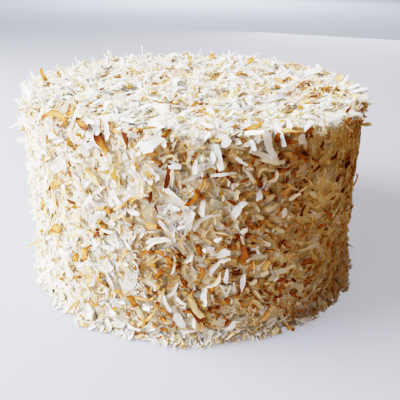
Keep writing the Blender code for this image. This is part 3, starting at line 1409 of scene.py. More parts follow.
@dataclass
class Cover:
    """How thickly each kind of coconut lies, place by place."""

    skin: Skin
    usual: float = 0.14
    swing: float = 0.9
    drifts: tuple[tuple[Clumps, float], ...] = ((Clumps(0.009, 51), 0.65), (Clumps(0.022, 52), 0.5))
    calm_side: float = 0.18
    calmest: float = 0.58
    calmest_heading: float = math.radians(-24.0)
    calmest_spread: float = 0.8
    top_reach: Range = (0.098, 0.107)

    def liveliness(self, points: np.ndarray) -> np.ndarray:
        """Works out how far flakes lean out: fully on the top, least on the right of the front.

        Args:
            points: where the flakes lie.

        Returns:
            One share for each point.
        """
        off = off_heading(np.arctan2(points[:, 1], points[:, 0]), self.calmest_heading)
        calm = self.calm_side + self.calmest * bell(off, self.calmest_spread)
        return 1.0 - calm * np.interp(points[:, 2], self.top_reach, (1.0, 0.0))

    def bare(self, points: np.ndarray) -> np.ndarray:
        """How bare the frosting is left at `points`, from 0 to 1."""
        return np.clip(sum(patch.share(points, self.skin) for patch in BARE_PATCHES), 0.0, 1.0)

    def drift(self, points: np.ndarray) -> np.ndarray:
        """How far the mix at `points` leans towards toasted coconut; below 0 it leans towards white."""
        return sum(share * clumps.at(points) for clumps, share in self.drifts)

    def toasted(self, points: np.ndarray) -> np.ndarray:
        """The share of toasted coconut at `points`, from 0 to 1, some of its patches being painted shade."""
        usual = self.usual * np.exp(self.swing * self.drift(points))
        return np.clip(usual + sum(patch.share(points, self.skin) for patch in TOAST_AND_SHADE_PATCHES), 0.0, 1.0)


@dataclass
class ClearView:
    """Keeps the scattered coconut from hiding the flakes that are placed one by one."""

    camera: PhotoCamera
    spans: list[tuple[Vector, Vector, float]]
    overlap: float = 0.25
    samples: int = 7

    def hides(self, copies: "Copies") -> np.ndarray:
        """Finds the copies that would lie across such a flake in the reference view.

        Args:
            copies: the scattered copies.

        Returns:
            One truth value for each copy.
        """
        shares = np.linspace(0.0, 1.0, self.samples)
        reach = copies.length[:, None] * copies.along
        spine = copies.root[:, None] + shares[None, :, None] * reach[:, None]
        pixels, depth = self.camera.seen_at(spine.reshape(-1, 3))
        half_width = np.repeat(self.overlap * copies.width, self.samples)
        hidden = np.zeros(len(depth), bool)
        for root, tip, width in self.spans:
            ends, ends_depth = self.camera.seen_at(np.array((root, tip)))
            run = ends[1] - ends[0]
            share = np.clip((pixels - ends[0]) @ run / max(run @ run, 1e-9), 0.0, 1.0)
            apart = np.linalg.norm(pixels - ends[0] - share[:, None] * run, axis=1)
            own_depth = ends_depth[0] + share * (ends_depth[1] - ends_depth[0])
            room = (half_width + 0.5 * width) / (self.camera.pixel_size() * own_depth)
            hidden |= (apart < room) & (depth < own_depth)
        return hidden.reshape(-1, self.samples).any(axis=1)


@dataclass(frozen=True)
class CoconutKind:
    """One kind of shaved coconut and how it is scattered.

    Bends, leans, rolls and twists are in degrees. The two numbers of each `odds` shape a spread of
    chances. A flake that `follows_toast` lies where toasted coconut gathers.
    """

    name: str
    count: int
    patterns: tuple[Pattern, ...]
    length: Range
    width: Range
    thickness: Range
    toast: Range
    finish: CoconutFinish
    seed: int
    tip_toast: float = 0.05
    bend: float = 30.0
    layer: Range = (0.0, 0.0022)
    flat_share: float = 0.58
    steep_share: float = 0.1
    foot_share: float = 0.06
    rim_share: float = 0.04
    ragged: float = 0.3
    follows_toast: bool = False
    shuns_toast: float = 0.0
    leaning: float = 0.0
    edge_share: float = 0.0
    foot_band: float = 0.009
    foot_longest: float = 0.0065
    foot_turn: float = 0.5
    size_odds: Range = (1.4, 2.4)
    flat_lean: Range = (-8.0, 11.0)
    usual_lean: Range = (11.0, 34.0)
    steep_lean: Range = (34.0, 66.0)
    flat_roll: float = 14.0
    usual_roll: float = 38.0
    flat_anchor: float = 0.5
    usual_anchor: float = 0.12
    twist: float = 30.0
    swerve: float = 0.07
    taper: float = 0.35
    edge_toast: Range = (0.08, 0.4)
    edge_odds: Range = (0.3, 2.0)
    tone_odds: Range = (1.1, 2.0)
    tone_drift: float = 0.16
    tone_heaps: float = 0.3

    def places(self, form: CakeForm, cover: Cover, dice: np.random.Generator) -> Places:
        """Chooses where the flakes lie.

        Args:
            form: the frosted form.
            cover: how thickly the coconut lies.
            dice: the source of random numbers.

        Returns:
            The places of all flakes of this kind.
        """
        foot = round(self.count * self.foot_share)
        rim = round(self.count * self.rim_share)
        wanted = self.count - foot - rim
        tried = form.even_places((4 if self.follows_toast else 2) * wanted, dice)
        toasted = cover.toasted(tried.points)
        chance = toasted if self.follows_toast else 1.0 - self.shuns_toast * toasted
        chance = chance * (1.0 - cover.bare(tried.points)) * np.exp(self.leaning * cover.drift(tried.points))
        order = np.argsort(dice.random(len(chance)) / np.maximum(chance, 1e-6))
        kept = tried.keep(np.sort(order[:wanted]))
        on_rim = form.rim_places(rim, dice)
        on_rim = on_rim.keep(dice.random(rim) > cover.bare(on_rim.points))
        return kept.join(on_rim).join(form.foot_places(foot, dice))

    def scatter(
        self, form: CakeForm, cover: Cover, flakes: dict[Pattern, FlakeMesh], view: ClearView,
    ) -> bpy.types.Object:
        """Scatters the flakes over the cake as one joined piece.

        Args:
            form: the frosted form.
            cover: how thickly the coconut lies.
            flakes: the modelled flakes.
            view: what the scattered flakes may not hide.

        Returns:
            The joined piece, with its finish.
        """
        dice = np.random.default_rng(self.seed)
        copies = self.lay(self.places(form, cover, dice), cover, dice)
        copies = copies.rows(~view.hides(copies))
        kind = dice.integers(0, len(self.patterns), len(copies.length))
        batches = [copies.rows(kind == index) for index in range(len(self.patterns))]
        piece = joined_copies(self.name, [flakes[pattern] for pattern in self.patterns], batches, dice)
        piece.data.materials.append(self.finish.material())
        return piece

    def lay(self, places: Places, cover: Cover, dice: np.random.Generator) -> Copies:
        """Lays a flake at each place: most nearly flat, some leaning, a few standing up.

        Args:
            places: where the flakes lie.
            cover: how the tones of the coconut drift from place to place.
            dice: the source of random numbers.

        Returns:
            The copies.
        """
        count = len(places.points)
        length = self.length[0] + (self.length[1] - self.length[0]) * dice.beta(*self.size_odds, count)
        width = dice.uniform(*self.width, count)
        thickness = dice.uniform(*self.thickness, count)
        mood = dice.random(count)
        flat = mood < self.flat_share
        steep = mood > 1.0 - self.steep_share
        lively = cover.liveliness(places.points)
        lean = np.where(flat, dice.uniform(*self.flat_lean, count), dice.uniform(*self.usual_lean, count))
        lean = np.radians(np.where(steep, dice.uniform(*self.steep_lean, count), lean)) * lively
        heading = 2.0 * math.pi * dice.random(count)
        long_at_foot = (places.points[:, 2] < self.foot_band) & (length > self.foot_longest)
        heading = np.where(long_at_foot, self.foot_turn * np.sin(heading), heading)
        over_skin = turned(places.level, np.cross(places.normals, places.level), heading)
        along = turned(over_skin, places.normals, lean)
        up = turned(places.normals, -over_skin, lean)
        roll = np.radians(dice.normal(0.0, np.where(flat, self.flat_roll, self.usual_roll))) * lively
        up = turned(up, np.cross(up, along), roll)
        raised = dice.uniform(*self.layer, count) * lively
        behind = np.where(flat, self.flat_anchor, self.usual_anchor) * length
        root = places.points + places.normals * raised[:, None] - along * behind[:, None]
        return Copies(
            root, along, up, length, width, thickness,
            bend=np.radians(dice.normal(0.0, self.bend, count)) * lively,
            twist=np.radians(dice.normal(0.0, self.twist, count)),
            swerve=dice.normal(0.0, self.swerve, count),
            taper=dice.normal(0.0, self.taper, count),
            ragged=np.full(count, self.ragged),
            toast=self.tones(places, cover, dice),
            tip_toast=dice.normal(0.0, self.tip_toast, count),
            edge_toast=self.edges(places, cover, dice),
        )

    def edges(self, places: Places, cover: Cover, dice: np.random.Generator) -> np.ndarray:
        """Draws how much browner each flake's edges are, oftener where the coat is toasted.

        Args:
            places: where the flakes lie.
            cover: how toasted the coat is from place to place.
            dice: the source of random numbers.

        Returns:
            One toast value for each flake, 0 for most.
        """
        count = len(places.points)
        browner = dice.uniform(*self.edge_toast, count)
        least, more = self.edge_odds
        chance = self.edge_share * (least + more * cover.toasted(places.points))
        return browner * (dice.random(count) < chance)

    def tones(self, places: Places, cover: Cover, dice: np.random.Generator) -> np.ndarray:
        """Draws how far each flake is toasted, with neighbours alike.

        Args:
            places: where the flakes lie.
            cover: how the tones of the coconut drift from place to place.
            dice: the source of random numbers.

        Returns:
            One toast value for each flake.
        """
        own = dice.beta(*self.tone_odds, len(places.points))
        drifting = self.tone_drift * np.tanh(cover.drift(places.points))
        heaped = self.tone_heaps * (cover.toasted(places.points) - cover.usual)
        return self.toast[0] + (self.toast[1] - self.toast[0]) * np.clip(own + drifting + heaped, 0.0, 1.0)


THIN = (0.00028, 0.0005)
KINDS = (
    CoconutKind(
        "white_ribbons", 1500, (Pattern.SHAVING,), (0.007, 0.017), (0.0012, 0.0027), THIN,
        (0.0, 0.1), WHITE_FINISH, seed=11, bend=50.0, layer=(0.0005, 0.0019), shuns_toast=0.35,
        foot_share=0.02, flat_share=0.62, steep_share=0.05, rim_share=0.05, leaning=-0.4, edge_share=0.2,
    ),
    CoconutKind(
        "white_petals", 3700, (Pattern.PETAL,), (0.004, 0.01), (0.0013, 0.0032), THIN,
        (0.0, 0.12), WHITE_FINISH, seed=18, bend=45.0, layer=(0.0004, 0.002), shuns_toast=0.45,
        flat_share=0.66, steep_share=0.06, rim_share=0.06, leaning=-0.5, edge_share=0.16,
    ),
    CoconutKind(
        "white_chips", 4500, (Pattern.CHIP, Pattern.LEAF, Pattern.CRESCENT, Pattern.SPLINTER),
        (0.0025, 0.0072), (0.0012, 0.0028), THIN, (0.0, 0.14), WHITE_FINISH, seed=12, bend=45.0,
        layer=(0.0, 0.0015), shuns_toast=0.45, flat_share=0.68, steep_share=0.06, leaning=-0.45,
        foot_share=0.08,
    ),
    CoconutKind(
        "cream_chips", 5150, (Pattern.CHIP, Pattern.PETAL, Pattern.SPLINTER, Pattern.LEAF), (0.0024, 0.0078),
        (0.0011, 0.0027), THIN, (0.08, 0.35), CREAM_FINISH, seed=13, bend=45.0,
        layer=(0.0, 0.0018), flat_share=0.66, steep_share=0.06, leaning=0.7, edge_share=0.28,
        foot_share=0.09,
    ),
    CoconutKind(
        "golden_flakes", 2400, (Pattern.PETAL, Pattern.SHAVING, Pattern.CHIP, Pattern.CRESCENT),
        (0.0026, 0.0085), (0.0009, 0.0024), THIN, (0.16, 0.5), TOASTED_FINISH, seed=14,
        tip_toast=0.08, bend=48.0, layer=(0.001, 0.0023), follows_toast=True, edge_share=0.5,
        foot_share=0.03,
    ),
    CoconutKind(
        "dark_bits", 260, (Pattern.SPLINTER, Pattern.CHIP, Pattern.CRESCENT), (0.0015, 0.004),
        (0.0008, 0.0016), THIN, (0.66, 1.0), TOASTED_FINISH, seed=15, tip_toast=0.1,
        layer=(0.0014, 0.0024), follows_toast=True, foot_share=0.02,
    ),
    CoconutKind(
        "fine_shreds", 7700, (Pattern.SHRED,), (0.0019, 0.0062), (0.0005, 0.0011), (0.00024, 0.0004),
        (0.03, 0.32), CREAM_FINISH, seed=16, bend=60.0, layer=(0.0, 0.002), flat_share=0.55,
        leaning=0.3, foot_share=0.12,
    ),
    CoconutKind(
        "crumbs", 5200, (Pattern.CRUMB,), (0.0006, 0.0018), (0.0006, 0.0014), (0.0004, 0.0009),
        (0.04, 0.36), CREAM_FINISH, seed=17, bend=0.0, layer=(0.0, 0.0018), foot_share=0.12,
    ),
)


@dataclass(frozen=True)
class Landmark:
    """A flake that the reference view shows plainly, from the pixel of its root to that of its tip."""

    tone: Tone
    pattern: Pattern
    root: Pixel
    tip: Pixel
    width: float
    swerve: float = 0.0
    lift: float = 0.0014


def landmarks(
    tone: Tone, pattern: Pattern, *spans: tuple[float, ...], lift: float = 0.0014,
) -> tuple[Landmark, ...]:
    """Lists landmark flakes of one tone and pattern.

    Args:
        tone: how far they are toasted.
        pattern: their shape.
        spans: for each, in pixels of the reference view, the x and y of its root, the x and y of its
            tip, and its width; if it is curved, also how far it bows to its left, as a share of its length.
        lift: how far its tip stands off the coat, in metres.

    Returns:
        The landmarks.
    """
    return tuple(Landmark(tone, pattern, span[:2], span[2:4], *span[4:], lift=lift) for span in spans)


# The flakes that the reference view shows plainly, group by group.
WHITE_SHAVINGS = landmarks(
    Tone.WHITE, Pattern.SHAVING,
    (24, 100, 20, 74, 5), (67, 136, 80, 103, 4), (95, 119, 97, 135, 6), (105, 120, 106, 140, 5),
    (162, 139, 165, 148, 6), (163, 160, 178, 161, 3, 0.32), (173, 165, 172, 186, 4),
    (210, 176, 237, 173, 4), (224, 178, 228, 187, 2, 0.2), (233, 217, 246, 202, 8), (238, 190, 236, 200, 5),
    (203, 200, 203, 217, 5), (194, 212, 186, 233, 8, -0.1), (148, 248, 171, 241, 6, 0.12),
    (174, 256, 171, 275, 3, 0.15), (210, 276, 230, 259, 5, 0.08), (220, 285, 226, 297, 2),
    (226, 297, 231, 285, 2), (220, 272, 207, 287, 4, 0.25), (204, 288, 205, 307, 6),
    (163, 297, 170, 312, 4), (241, 236, 244, 245, 2), (128, 211, 140, 215, 5), (112, 190, 118, 204, 5),
    (150, 169, 158, 180, 5), (196, 160, 194, 175, 5), (236, 158, 247, 166, 4), (120, 118, 133, 122, 6),
    (150, 121, 163, 127, 6), (176, 128, 190, 124, 6), (200, 122, 213, 128, 5), (222, 127, 236, 122, 5),
    lift=0.003,
)
STRIPS_UNDER_RIM = landmarks(
    Tone.WHITE, Pattern.STRIP,
    (265, 129, 274, 158, 8), (245, 133, 264, 132, 6), (250, 151, 278, 161, 7), (216, 145, 221, 171, 8),
    (275, 123, 284, 147, 7), (251, 140, 255, 151, 6), lift=0.0038,
)
SMALL_STRIPS = landmarks(
    Tone.WHITE, Pattern.STRIP,
    (159, 221, 166, 230, 4), (177, 229, 186, 226, 3), (168, 206, 180, 210, 4), (102, 230, 113, 233, 4),
    (163, 214, 170, 205, 3), (146, 243, 158, 239, 5), lift=0.0016,
)
CREAM_STRIPS = landmarks(
    Tone.CREAM, Pattern.STRIP,
    (262, 160, 285, 162, 6), (246, 171, 255, 183, 5), lift=0.0026,
)
WHITE_CHIPS = landmarks(
    Tone.WHITE, Pattern.CHIP,
    (86, 120, 93, 124, 6), (222, 148, 230, 138, 11), (214, 241, 221, 239, 4), (203, 249, 212, 253, 5),
    (217, 255, 230, 254, 8), (241, 233, 248, 229, 5), (177, 314, 182, 328, 8), (265, 102, 281, 96, 9),
    (302, 76, 315, 69, 6), (351, 87, 360, 84, 4), (357, 90, 367, 88, 4), (350, 112, 363, 116, 4),
    (140, 147, 162, 139, 9), (270, 182, 266, 190, 4), (142, 306, 150, 311, 5), (84, 205, 92, 197, 6),
    (228, 330, 236, 322, 5), (112, 322, 124, 327, 6), (60, 250, 68, 256, 5), lift=0.0026,
)
WHITE_LEAVES = landmarks(
    Tone.WHITE, Pattern.LEAF,
    (28, 106, 13, 99, 4), (27, 120, 16, 115, 3), (260, 190, 258, 202, 7), (284, 217, 286, 208, 5),
    (208, 247, 215, 256, 5), (227, 269, 227, 284, 5), (244, 275, 242, 291, 6), (234, 282, 234, 293, 3),
    lift=0.003,
)
WHITE_SPLINTERS = landmarks(
    Tone.WHITE, Pattern.SPLINTER,
    (26, 118, 9, 127, 4), (192, 229, 222, 216, 6, 0.12), (230, 57, 230, 50, 4), (349, 80, 349, 74, 4),
    (311, 121, 303, 131, 9), (297, 134, 304, 146, 10), lift=0.0032,
)
CREAM_SHAVINGS = landmarks(
    Tone.CREAM, Pattern.SHAVING,
    (27, 86, 31, 71, 3), (206, 290, 206, 307, 6), (88, 304, 89, 320, 5), (258, 177, 268, 169, 4, 0.25),
    (268, 182, 278, 171, 4, -0.25), (266, 210, 280, 204, 5), (287, 185, 298, 190, 3),
    (284, 258, 295, 254, 3), (286, 268, 296, 265, 4), (254, 291, 261, 299, 4), (252, 300, 263, 308, 4),
    (54, 194, 56, 208, 4, -0.2), (50, 297, 63, 299, 4), (52, 311, 68, 306, 4),
    (316, 168, 306, 180, 2, -0.1), (298, 176, 313, 186, 2, 0.15), (289, 200, 300, 194, 4), lift=0.0024,
)
CREAM_CHIPS = landmarks(
    Tone.CREAM, Pattern.CHIP,
    (58, 141, 64, 139, 4), (62, 112, 68, 103, 5), (159, 111, 167, 108, 6), (358, 102, 368, 95, 5),
    (269, 156, 280, 152, 5), (262, 275, 269, 271, 5), (250, 284, 257, 281, 5), (42, 260, 42, 268, 5),
    (53, 262, 53, 269, 4), (104, 322, 111, 328, 4), (248, 166, 254, 170, 4), (256, 215, 263, 220, 5),
    (310, 192, 317, 198, 5), (276, 228, 284, 233, 5), (361, 123, 372, 125, 4),
)
TAN_STRIPS = landmarks(
    Tone.TAN, Pattern.STRIP,
    (189, 294, 202, 318, 8), (135, 304, 144, 320, 4), (150, 262, 158, 276, 4), (164, 288, 158, 302, 4),
)
TAN_SHAVINGS = landmarks(
    Tone.TAN, Pattern.SHAVING,
    (281, 131, 306, 131, 6), (42, 160, 54, 150, 4), (149, 117, 157, 112, 4), (256, 86, 269, 81, 4),
    (141, 200, 152, 190, 2, 0.1), (212, 233, 229, 236, 2, 0.12), (139, 178, 140, 190, 3),
    (72, 177, 83, 191, 3), (89, 273, 88, 284, 4), (84, 265, 91, 273, 5), (216, 116, 224, 120, 2, 0.3),
    (145, 155, 158, 154, 4), (41, 201, 46, 216, 6), (63, 196, 62, 207, 2), (66, 261, 67, 269, 5),
    (156, 290, 163, 282, 2), (80, 245, 88, 245, 2), (253, 260, 253, 270, 4), (76, 241, 76, 249, 3),
    (249, 169, 250, 163, 4), lift=0.002,
)
TAN_PETALS = landmarks(
    Tone.TAN, Pattern.PETAL,
    (41, 162, 50, 157, 6), (65, 184, 71, 181, 4), (67, 163, 69, 167, 2), (80, 190, 86, 195, 3),
    # The tan petal from pixel (119, 174) to (117, 190) is painted shade: a darker flake laid where the coat
    # is only in shade.
    (119, 174, 117, 190, 4), (72, 215, 80, 222, 7), (75, 226, 80, 229, 4), (118, 155, 121, 163, 3),
    (85, 154, 86, 159, 3), (57, 277, 63, 276, 4), (101, 309, 105, 304, 4), (91, 326, 100, 321, 5),
    (72, 305, 79, 303, 3), (30, 133, 33, 140, 4), (101, 114, 108, 113, 5), (241, 121, 248, 119, 4),
    (111, 127, 118, 135, 4), (284, 153, 296, 161, 6), (170, 136, 176, 136, 3), (157, 70, 163, 69, 3),
    (338, 79, 344, 75, 6), (273, 119, 281, 115, 3), (38, 86, 43, 79, 5), (56, 190, 52, 184, 4),
    (149, 186, 150, 191, 3), (241, 212, 246, 219, 3), (300, 238, 308, 232, 3), (262, 320, 270, 312, 4),
    (184, 118, 176, 120, 5), (112, 128, 118, 124, 4), (208, 67, 213, 65, 4),
)
GOLDEN_RIBBONS = landmarks(
    Tone.GOLDEN, Pattern.RIBBON,
    (62, 101, 62, 117, 3, 0.2), (82, 117, 95, 118, 2, 0.35), (114, 210, 126, 204, 3), (86, 168, 98, 185, 5),
    (177, 88, 177, 81, 3), (191, 67, 189, 56, 3), (48, 168, 50, 176, 3), (124, 203, 140, 199, 2, 0.2),
    (211, 141, 222, 140, 3), (300, 102, 312, 100, 4), (94, 209, 105, 207, 4), (136, 298, 148, 300, 3),
    (188, 233, 189, 254, 2, -0.35), (145, 322, 158, 308, 3), (192, 297, 200, 315, 2), (271, 89, 259, 91, 4),
    (281, 113, 294, 110, 5, 0.1), (294, 185, 283, 196, 3), (262, 241, 252, 236, 3, 0.3),
    (190, 150, 190, 141, 2), lift=0.0018,
)
GOLDEN_PETALS = landmarks(
    Tone.GOLDEN, Pattern.PETAL,
    (52, 184, 60, 180, 7), (198, 194, 208, 175, 4), (199, 205, 204, 195, 4), (129, 203, 134, 199, 4),
    (52, 233, 60, 235, 4), (122, 251, 129, 255, 4), (111, 219, 115, 220, 3), (72, 279, 77, 277, 3),
    (112, 309, 117, 308, 3), (62, 315, 67, 313, 3), (127, 88, 133, 85, 5), (142, 100, 146, 95, 4),
    (151, 93, 158, 92, 3), (195, 97, 200, 96, 3), (200, 112, 205, 109, 5), (172, 103, 178, 102, 4),
    (209, 59, 214, 55, 5), (222, 97, 228, 95, 4), (255, 103, 260, 101, 3), (264, 75, 274, 72, 4),
    (220, 182, 225, 180, 4), (220, 300, 226, 304, 3), (182, 292, 187, 293, 3), (263, 270, 270, 260, 8),
    (200, 330, 203, 322, 3), (201, 147, 206, 148, 3), (240, 303, 248, 308, 3), (134, 73, 139, 71, 3),
    (134, 132, 139, 129, 4), (187, 72, 192, 70, 3), (278, 146, 284, 141, 4), (283, 141, 297, 143, 6),
    (350, 123, 357, 121, 3), (240, 73, 246, 76, 3),
)
ORANGE_STRIPS = landmarks(
    Tone.ORANGE, Pattern.STRIP,
    (42, 117, 66, 121, 7, -0.12), (60, 125, 67, 118, 9), (101, 119, 101, 131, 2), lift=0.0022,
)
ORANGE_RIBBONS = landmarks(
    Tone.ORANGE, Pattern.RIBBON,
    (85, 249, 84, 260, 6), (186, 206, 197, 191, 6, -0.12), (88, 297, 98, 296, 4, -0.5),
    (112, 298, 124, 298, 4, 0.45), (103, 274, 104, 285, 5, -0.45), (197, 266, 197, 278, 5, 0.45),
    (134, 270, 135, 259, 4), (155, 312, 158, 302, 4), (126, 297, 132, 299, 2), (196, 245, 201, 256, 6),
    (276, 88, 285, 81, 6), (322, 91, 333, 88, 3, 0.25), (196, 193, 198, 190, 4), (305, 104, 318, 103, 1),
    (283, 206, 276, 216, 3), (290, 168, 279, 172, 3), lift=0.0018,
)
ORANGE_SPLINTERS = landmarks(
    Tone.ORANGE, Pattern.SPLINTER,
    (246, 131, 268, 121, 10), (66, 115, 76, 111, 4), lift=0.0026,
)
RUST_SPLINTERS = landmarks(
    Tone.RUST, Pattern.SPLINTER,
    (98, 134, 103, 158, 11), (252, 164, 257, 157, 5), lift=0.002,
)
RUST_RIBBONS = landmarks(
    Tone.RUST, Pattern.RIBBON,
    (73, 117, 87, 129, 8), (141, 258, 153, 252, 4, 0.2), (153, 252, 164, 257, 4, 0.2),
    (164, 256, 171, 267, 5, 0.2), (130, 296, 136, 306, 7), (155, 279, 163, 271, 5), lift=0.0026,
)
AMBER_CHIPS = landmarks(
    Tone.AMBER, Pattern.CHIP,
    (205, 112, 212, 116, 4), (148, 262, 156, 268, 5), (147, 223, 156, 228, 7), lift=0.002,
)
ORANGE_CHIPS = landmarks(
    Tone.ORANGE, Pattern.CHIP,
    (162, 137, 171, 130, 5), (52, 227, 60, 231, 8), (101, 225, 106, 229, 4), (74, 261, 78, 254, 5),
    (99, 258, 105, 257, 3), (35, 233, 40, 230, 3), (41, 209, 43, 205, 3), (104, 208, 111, 213, 5),
    (59, 76, 58, 71, 4), (115, 77, 120, 75, 4), (136, 132, 141, 130, 4), (212, 79, 219, 75, 4),
    (223, 78, 228, 76, 4), (237, 75, 242, 71, 5), (247, 63, 253, 59, 5), (41, 77, 41, 69, 5),
    (107, 136, 112, 137, 4), (192, 105, 198, 102, 4), (160, 308, 168, 313, 4),
    (152, 322, 158, 326, 3, -0.4), (160, 318, 167, 322, 3), (161, 334, 168, 330, 4),
    (234, 297, 239, 295, 4), (258, 222, 265, 222, 4), (275, 142, 280, 133, 6), (281, 145, 290, 139, 6),
    (307, 134, 313, 128, 5), (241, 182, 247, 180, 4), (251, 182, 258, 179, 4), (210, 291, 215, 287, 4),
    (346, 123, 352, 118, 3), (251, 225, 258, 229, 3), (300, 155, 307, 160, 4), (312, 158, 319, 163, 3),
    (284, 244, 291, 249, 4), (303, 264, 310, 259, 4), (325, 210, 331, 216, 3), (318, 228, 326, 224, 4),
    (290, 292, 296, 298, 4), (230, 244, 236, 249, 4), (246, 261, 243, 244, 7),
)
BROWN_CHIPS = landmarks(
    Tone.BROWN, Pattern.CHIP,
    (93, 111, 102, 105, 5), (102, 77, 108, 73, 4), (127, 96, 131, 94, 3), (205, 130, 211, 128, 4),
    (243, 75, 248, 76, 3), (297, 87, 306, 81, 4), (198, 104, 203, 102, 3), (131, 299, 135, 302, 4),
    (126, 313, 130, 315, 4), (183, 311, 192, 312, 4), (181, 278, 187, 288, 5), (277, 281, 284, 279, 4),
    (192, 294, 195, 291, 3), (313, 172, 320, 166, 3), (336, 182, 341, 174, 3), (172, 327, 174, 321, 3),
    (276, 297, 282, 295, 3), (236, 296, 240, 293, 3), (244, 298, 248, 295, 3),
)
BROWN_SPLINTERS = landmarks(
    Tone.BROWN, Pattern.SPLINTER,
    (66, 114, 75, 111, 3), (86, 106, 94, 102, 2), (91, 245, 85, 250, 3), (154, 83, 160, 83, 3),
    (69, 172, 72, 178, 3), (65, 229, 67, 225, 2), (72, 251, 75, 253, 2), (75, 145, 82, 145, 3),
    (109, 122, 110, 129, 3), (100, 184, 102, 187, 1.5), (105, 191, 108, 185, 1.5),
    (109, 261, 110, 256, 1.5), (118, 260, 118, 256, 2), (70, 310, 73, 313, 2),
    (165, 91, 170, 103, 1.2, -0.25), (283, 94, 296, 96, 1.2, 0.35), (277, 107, 278, 113, 1.2),
    (240, 94, 246, 104, 1.2), (160, 157, 176, 160, 2, 0.35), (186, 236, 190, 242, 2),
    (195, 308, 213, 307, 1.5), (250, 292, 260, 303, 2), (264, 290, 268, 301, 3, 0.15),
    (175, 254, 178, 258, 3), (263, 234, 271, 238, 3, 0.3), (331, 200, 337, 195, 2),
    (168, 313, 172, 320, 1.5), (311, 97, 321, 95, 3), lift=0.0018,
)
DARK_LEAVES = landmarks(
    Tone.DARK, Pattern.LEAF,
    (122, 131, 128, 147, 5), (151, 192, 151, 204, 6), (227, 200, 237, 205, 5), (191, 311, 198, 320, 4),
    (346, 169, 349, 159, 4), lift=0.0018,
)
DARK_CHIPS = landmarks(
    Tone.DARK, Pattern.CHIP,
    (218, 153, 225, 158, 4), (250, 154, 259, 158, 4), (175, 268, 181, 266, 4), (196, 319, 203, 321, 5),
    (303, 151, 308, 156, 4), (291, 278, 296, 282, 4), (251, 243, 257, 244, 3), (182, 280, 187, 284, 4),
    # The dark chip from pixel (346, 112) to (351, 107) is painted shade: a dark flake laid in a shaded gap
    # at the rim.
    (346, 112, 351, 107, 3), (341, 192, 345, 188, 3), (286, 162, 290, 163, 3), (186, 238, 190, 240, 3),
)
DARK_SPLINTERS = landmarks(
    Tone.DARK, Pattern.SPLINTER,
    (324, 142, 321, 147, 2), (321, 146, 324, 151, 2), (334, 158, 339, 150, 3), (155, 206, 158, 215, 3),
    (264, 300, 269, 302, 2), (297, 193, 296, 183, 3), (301, 216, 307, 204, 3), (284, 253, 292, 250, 2),
    (346, 160, 351, 157, 2),
)
DARK_STRIP = landmarks(Tone.DARK, Pattern.STRIP, (169, 163, 165, 189, 6))
LANDMARKS = (
    *WHITE_SHAVINGS, *STRIPS_UNDER_RIM, *SMALL_STRIPS, *CREAM_STRIPS, *WHITE_CHIPS, *WHITE_LEAVES,
    *WHITE_SPLINTERS, *CREAM_SHAVINGS, *CREAM_CHIPS, *TAN_STRIPS, *TAN_SHAVINGS, *TAN_PETALS,
    *GOLDEN_RIBBONS, *GOLDEN_PETALS, *ORANGE_STRIPS, *ORANGE_RIBBONS, *ORANGE_SPLINTERS,
    *RUST_SPLINTERS, *RUST_RIBBONS, *AMBER_CHIPS, *ORANGE_CHIPS, *BROWN_CHIPS, *BROWN_SPLINTERS,
    *DARK_LEAVES, *DARK_CHIPS, *DARK_SPLINTERS, *DARK_STRIP,
)


